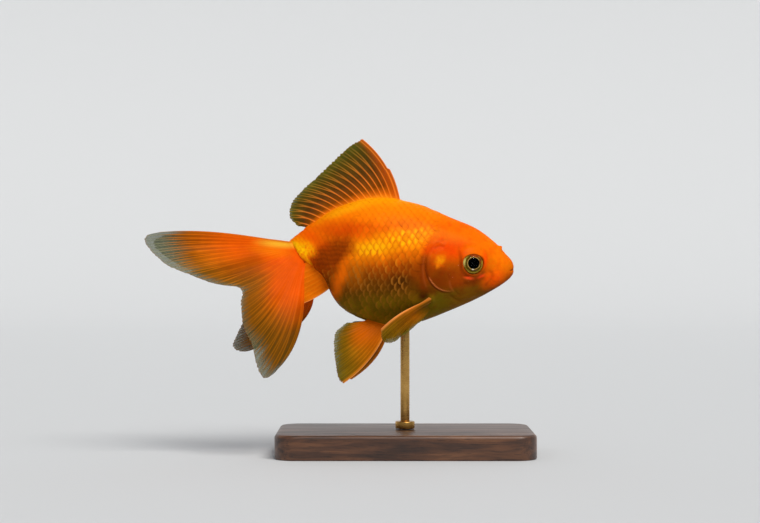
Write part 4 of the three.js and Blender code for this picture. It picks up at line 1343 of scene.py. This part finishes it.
def all_fins():
    dorsal = fin_flesh(
        "dorsal fin",
        web=[
            (0.0, "#fb9410"),
            (0.08, "#dc6a06"),
            (0.22, "#7c4004"),
            (0.5, "#523403"),
            (0.85, "#504404"),
            (1.0, "#5a5e10"),
        ],
        ray=[
            (0.0, "#fda018"),
            (0.12, "#f88020"),
            (0.4, "#ea7a28"),
            (0.65, "#bc7024"),
            (0.85, "#8c6820"),
            (1.0, "#74682c"),
        ],
        front=("#c4520a", "#f88224"),
        web_alpha=0.92,
        patches=[("front of the dorsal fin, orange", -0.6, 28.0, 12.5, 2.6, -60, 0.8, 0.4, "#d65c08")],
    )
    tail = fin_flesh(
        "tail fin",
        web=[
            (0.0, "#f65204"),
            (0.25, "#f45603"),
            (0.45, "#de5403"),
            (0.62, "#ac4c05"),
            (0.8, "#6e460a"),
            (1.0, "#565014"),
        ],
        ray=[
            (0.0, "#f85a06"),
            (0.25, "#f66006"),
            (0.5, "#e86206"),
            (0.75, "#d26e0c"),
            (1.0, "#a06c18"),
        ],
        front=("#e86c08", "#f4841c"),
        web_alpha=0.95,
        low=(-9.0, -25.0, "#563a08", "#84500a"),
        tip=("#50573c", "#858a6e"),
        patches=[
            ("upper lobe's root, yellow-orange", -38.5, 3.8, 7.0, 2.2, -8, 1.0, 0.6, "#fd8606"),
            # A painted highlight along the top of the tail's root.
            ("top of the tail's root, painted highlight, pale gold", -35.6, 6.0, 7.6, 1.5, -4, 0.9, 0.9, "#ffbe30"),
            ("fork, brown", -50.5, -2.6, 9.0, 3.6, 14, 1.0, 0.5, "#8a4404"),
            ("lower lobe, brown behind", -46.0, -12.0, 14.0, 6.0, 76, 0.9, 0.7, "#864a06"),
            ("lower lobe, orange middle", -33.4, -6.4, 8.0, 5.0, 72, 1.0, 0.7, "#de5204"),
        ],
    )
    pelvic_finish = fin_flesh(
        "pelvic fin",
        web=[(0.0, "#d26206"), (0.3, "#c45e04"), (0.5, "#a45c05"), (0.75, "#7c5806"), (1.0, "#62580e")],
        ray=[(0.0, "#d86606"), (0.3, "#cc6406"), (0.6, "#b46a0a"), (0.8, "#92660e"), (1.0, "#706014")],
        front=("#c0660c", "#ec8a22"),
        web_alpha=0.92,
        patches=[("root of the pelvic fin, orange", -8.6, -22.6, 5.2, 3.6, 60, 0.9, 0.8, "#d66204")],
    )
    pectoral_finish = fin_flesh(
        "pectoral fin",
        web=[(0.0, "#804604"), (0.4, "#945004"), (0.75, "#7c5406"), (1.0, "#665208")],
        ray=[(0.0, "#8c4a05"), (0.4, "#a05806"), (1.0, "#7c5c0c")],
        front=("#fb8420", "#ff9c48"),
        web_alpha=0.8,
        patches=[("root of the pectoral fin, olive", 12.6, -15.0, 4.4, 3.4, 0, 0.9, 0.9, "#604604")],
    )
    anal = fin_flesh(
        "anal fin",
        web=[(0.0, "#f06a04"), (0.5, "#fc7e04"), (1.0, "#f4880a")],
        ray=[(0.0, "#f4740a"), (0.5, "#fd880c"), (1.0, "#fa961c")],
        front=("#f07c0a", "#fb8c1c"),
        web_alpha=0.94,
    )
    fin("fin_dorsal_web", DORSAL, 320, 80, dorsal, ["fin_dorsal"], ripple=0.2, ray_half=0.12)
    lobes = ["tail_fin_right_upper", "tail_fin_right_lower"]
    fin("tail_right", TAIL_RIGHT, 520, 80, tail, lobes, ripple=0.32, ray_half=0.03)
    lobes = ["tail_fin_left_upper", "tail_fin_left_lower"]
    fin("tail_left", TAIL_LEFT, 520, 80, tail, lobes, ripple=0.32, ray_half=0.03)
    for side, forward in (("right", 0.0), ("left", PELVIC_AHEAD)):
        pectoral, pelvic, anal_fin = PECTORAL, PELVIC, ANAL
        if side == "left":
            pectoral, pelvic, anal_fin = mirrored(PECTORAL), mirrored(PELVIC, forward), mirrored(ANAL)
        solids = [f"fin_{kind}_{side}" for kind in ("pectoral", "pelvic", "anal")]
        fin(f"pectoral_{side}", pectoral, 200, 50, pectoral_finish, solids[:1], ripple=0.15, ray_half=0.05)
        fin(f"pelvic_{side}", pelvic, 240, 50, pelvic_finish, solids[1:2], ripple=0.18, ray_half=0.04)
        fin(f"anal_{side}", anal_fin, 120, 30, anal, solids[2:], ripple=0.12, ray_half=0.08)


# ------------------------------------------------------------------ eyes


def turned(name, side, profile, segments, material, slot, nodes=()):
    """A piece turned about the eye's axis: profile rows are [radius, height], from the front to the back."""
    centre, look = eye_frame(side)
    upright = np.array([0.0, 0.0, 1.0])
    across = np.cross(upright, look)
    curve = through([[i / (len(profile) - 1), *row] for i, row in enumerate(profile)])
    kept = {}

    def place(u, v):
        radius, height = curve(v).T
        radius = np.maximum(radius, 0)
        angle = 2 * math.pi * u
        wide = 1 + 0.08 * step(3.0, 1.9, radius)  # the pupil is a little wider than tall
        ring = (wide * np.cos(angle))[:, None] * across + np.sin(angle)[:, None] * upright
        kept["radius"] = radius
        return centre + radius[:, None] * ring + height[:, None] * look

    piece = grid(name, segments, 72, place)
    note(piece, **kept)
    piece.data.uv_layers[0].name = "OFBake"
    closed(piece)
    return finished(piece, material, slot, *nodes)


def eyes():
    iris, lens, clear = iris_metal(), eye_lens(), cornea()
    ball = [[0, 0.9], [0.9, 0.95], [1.6, 1.25], [1.84, 1.5], [2.3, 1.42], [3.0, 1.15], [3.38, 0.8]]
    ball += [[3.45, 0.2], [3.1, -1.0], [1.8, -2.0], [0, -2.3]]
    bead = [[0, 1.8], [0.9, 1.76], [1.6, 1.66], [1.86, 1.54], [1.76, 1.2], [0.7, 1.0], [0, 1.0]]
    dome = [[0, 2.32], [1.1, 2.22], [2.2, 1.86], [3.0, 1.24], [3.36, 0.78], [3.3, 0.72], [2.9, 1.14]]
    dome += [[2.1, 1.76], [1.1, 2.12], [0, 2.22]]
    for side, word in ((-1, "right"), (1, "left")):
        turned(f"eyeball_{word}", side, ball, 64, iris, "eye", [f"eye_{word}"])
        turned(f"lens_{word}", side, bead, 48, lens, "eye")
        turned(f"cornea_{word}", side, dome, 64, clear, "eye")


# ------------------------------------------------------------------ stand


def placed(piece, name):
    """Names a piece, and puts its place into its mesh."""
    piece.name = piece.data.name = name
    bpy.ops.object.transform_apply(location=True, rotation=True, scale=True)
    return piece


def stand():
    wood, metal = walnut(), brass()
    low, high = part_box("stand_base")
    bpy.ops.object.select_all(action="DESELECT")
    bpy.ops.mesh.primitive_cube_add(size=1, location=(low + high) / 2, scale=high - low)
    base = placed(bpy.context.object, "stand_plinth")
    corners = base.data.vertices

    def upright_edge(edge):
        a, b = (corners[i].co for i in edge.vertices)
        return abs(a.z - b.z) > MM

    rounded(base, "EDGE", upright_edge, PLINTH_CORNER, 12)
    rounded(base, "FACE", lambda face: face.normal.z > 0.9, PLINTH_TOP_EDGE, 5)
    rounded(base, "FACE", lambda face: face.normal.z < -0.9, PLINTH_LOW_EDGE, 3)
    bpy.ops.object.shade_smooth_by_angle(angle=math.radians(30))
    finished(base, wood, "walnut", "stand_base")

    low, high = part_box("stand_rod")
    radius, middle = (high.x - low.x) / 2, (low + high) / 2
    sides = {"vertices": 48, "radius": radius, "depth": high.z - low.z}
    bpy.ops.object.select_all(action="DESELECT")
    bpy.ops.mesh.primitive_cylinder_add(**sides, location=middle)
    rod = placed(bpy.context.object, "stand_post")
    rounded(rod, "FACE", lambda face: abs(face.normal.z) > 0.9, 0.3, 3)
    bpy.ops.object.shade_smooth_by_angle(angle=math.radians(30))
    finished(rod, metal, "brass", "stand_rod")

    low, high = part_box("stand_collar")
    outer, tall = (high.x - low.x) / 2, high.z - low.z
    wall = {"vertices": 64, "radius": outer, "depth": tall, "end_fill_type": "NOTHING"}
    bpy.ops.object.select_all(action="DESELECT")
    bpy.ops.mesh.primitive_cylinder_add(**wall, location=(low + high) / 2)
    ring = placed(bpy.context.object, "stand_ring")
    solid = ring.modifiers.new("wall", "SOLIDIFY")
    solid.thickness, solid.offset = outer - radius - 0.1 * MM, -1.0
    bpy.ops.object.modifier_apply(modifier=solid.name)
    edges = ring.modifiers.new("edges", "BEVEL")
    edges.width, edges.segments, edges.angle_limit = 0.35 * MM, 3, math.radians(40)
    bpy.ops.object.modifier_apply(modifier=edges.name)
    bpy.ops.object.shade_smooth_by_angle(angle=math.radians(30))
    finished(ring, metal, "brass", "stand_collar")


# ------------------------------------------------------------------ studio


def studio():
    """A pale sweep that runs from floor to wall, soft lights and the camera."""
    made, _, shader = new_material("pale paper sweep", Roughness=0.9)
    shader.inputs["Base Color"].default_value = hue("#d3d5d8")
    bend, wall, front, top, half_width = 1.0, 2.2, -9.0, 3.5, 7.0
    profile = [(front, 0.0), (wall - bend, 0.0)]
    for turn in np.linspace(0, math.pi / 2, 24)[1:]:
        profile.append((wall - bend + bend * math.sin(turn), bend - bend * math.cos(turn)))
    profile.append((wall, top))
    mesh = bpy.data.meshes.new("studio_sweep")
    points = [(x, y, z) for y, z in profile for x in (-half_width, half_width)]
    faces = [(2 * i, 2 * i + 1, 2 * i + 3, 2 * i + 2) for i in range(len(profile) - 1)]
    mesh.from_pydata(points, [], faces)
    sweep = bpy.data.objects.new("studio_sweep", mesh)
    bpy.context.scene.collection.objects.link(sweep)
    sweep.data.materials.append(made)
    alone(sweep)
    bpy.ops.object.shade_smooth()
    sweep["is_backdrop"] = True

    # A broad overhead lamp in front and to the right, and a low lamp behind: direction, size in degrees,
    # strength, colour.
    lamps = [
        ("overhead lamp", (0.34, -0.52, 0.78), 34, 2.35, "#fffcf6"),
        ("back lamp", (-0.25, 0.75, 0.6), 25, 0.8, "#fffcf6"),
    ]
    for name, towards, size, strength, code in lamps:
        lamp = bpy.data.lights.new(name, "SUN")
        lamp.angle, lamp.energy, lamp.color = math.radians(size), strength, hue(code)[:3]
        body = bpy.data.objects.new(name, lamp)
        x, y, z = towards
        body.rotation_euler = (math.atan2(math.hypot(x, y), z), 0, math.atan2(x, -y))
        bpy.context.scene.collection.objects.link(body)

    world = bpy.data.worlds.new("studio air")
    world.use_nodes = True
    air = world.node_tree.nodes["Background"].inputs
    air["Color"].default_value, air["Strength"].default_value = hue("#eef1f4"), 0.42
    bpy.context.scene.world = world
    bpy.context.scene.view_settings.view_transform = "Standard"  # keeps the orange as strong as painted

    distance, view_width = 0.6, 0.2499
    aim_x, aim_z = -0.00822, 0.06316
    camera = bpy.data.cameras.new("camera")
    camera.sensor_width = 36
    camera.lens = camera.sensor_width * distance / view_width
    camera.clip_start = 0.01
    body = bpy.data.objects.new("camera", camera)
    body.location = (aim_x, -distance, aim_z)
    body.rotation_euler = (math.pi / 2, 0, 0)
    bpy.context.scene.collection.objects.link(body)
    bpy.context.scene.camera = body


# ------------------------------------------------------------------ putting it together

studio()
body_skin(fish_skin())
scale_finish = fish_scale()
scales("scales_right", -1, scale_finish)
scales("scales_left", 1, scale_finish)
all_fins()
eyes()
stand()

boxes = {"cad": cad_box, "visual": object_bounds()}
{name: [list(corner) for corner in box] for name, box in boxes.items()}
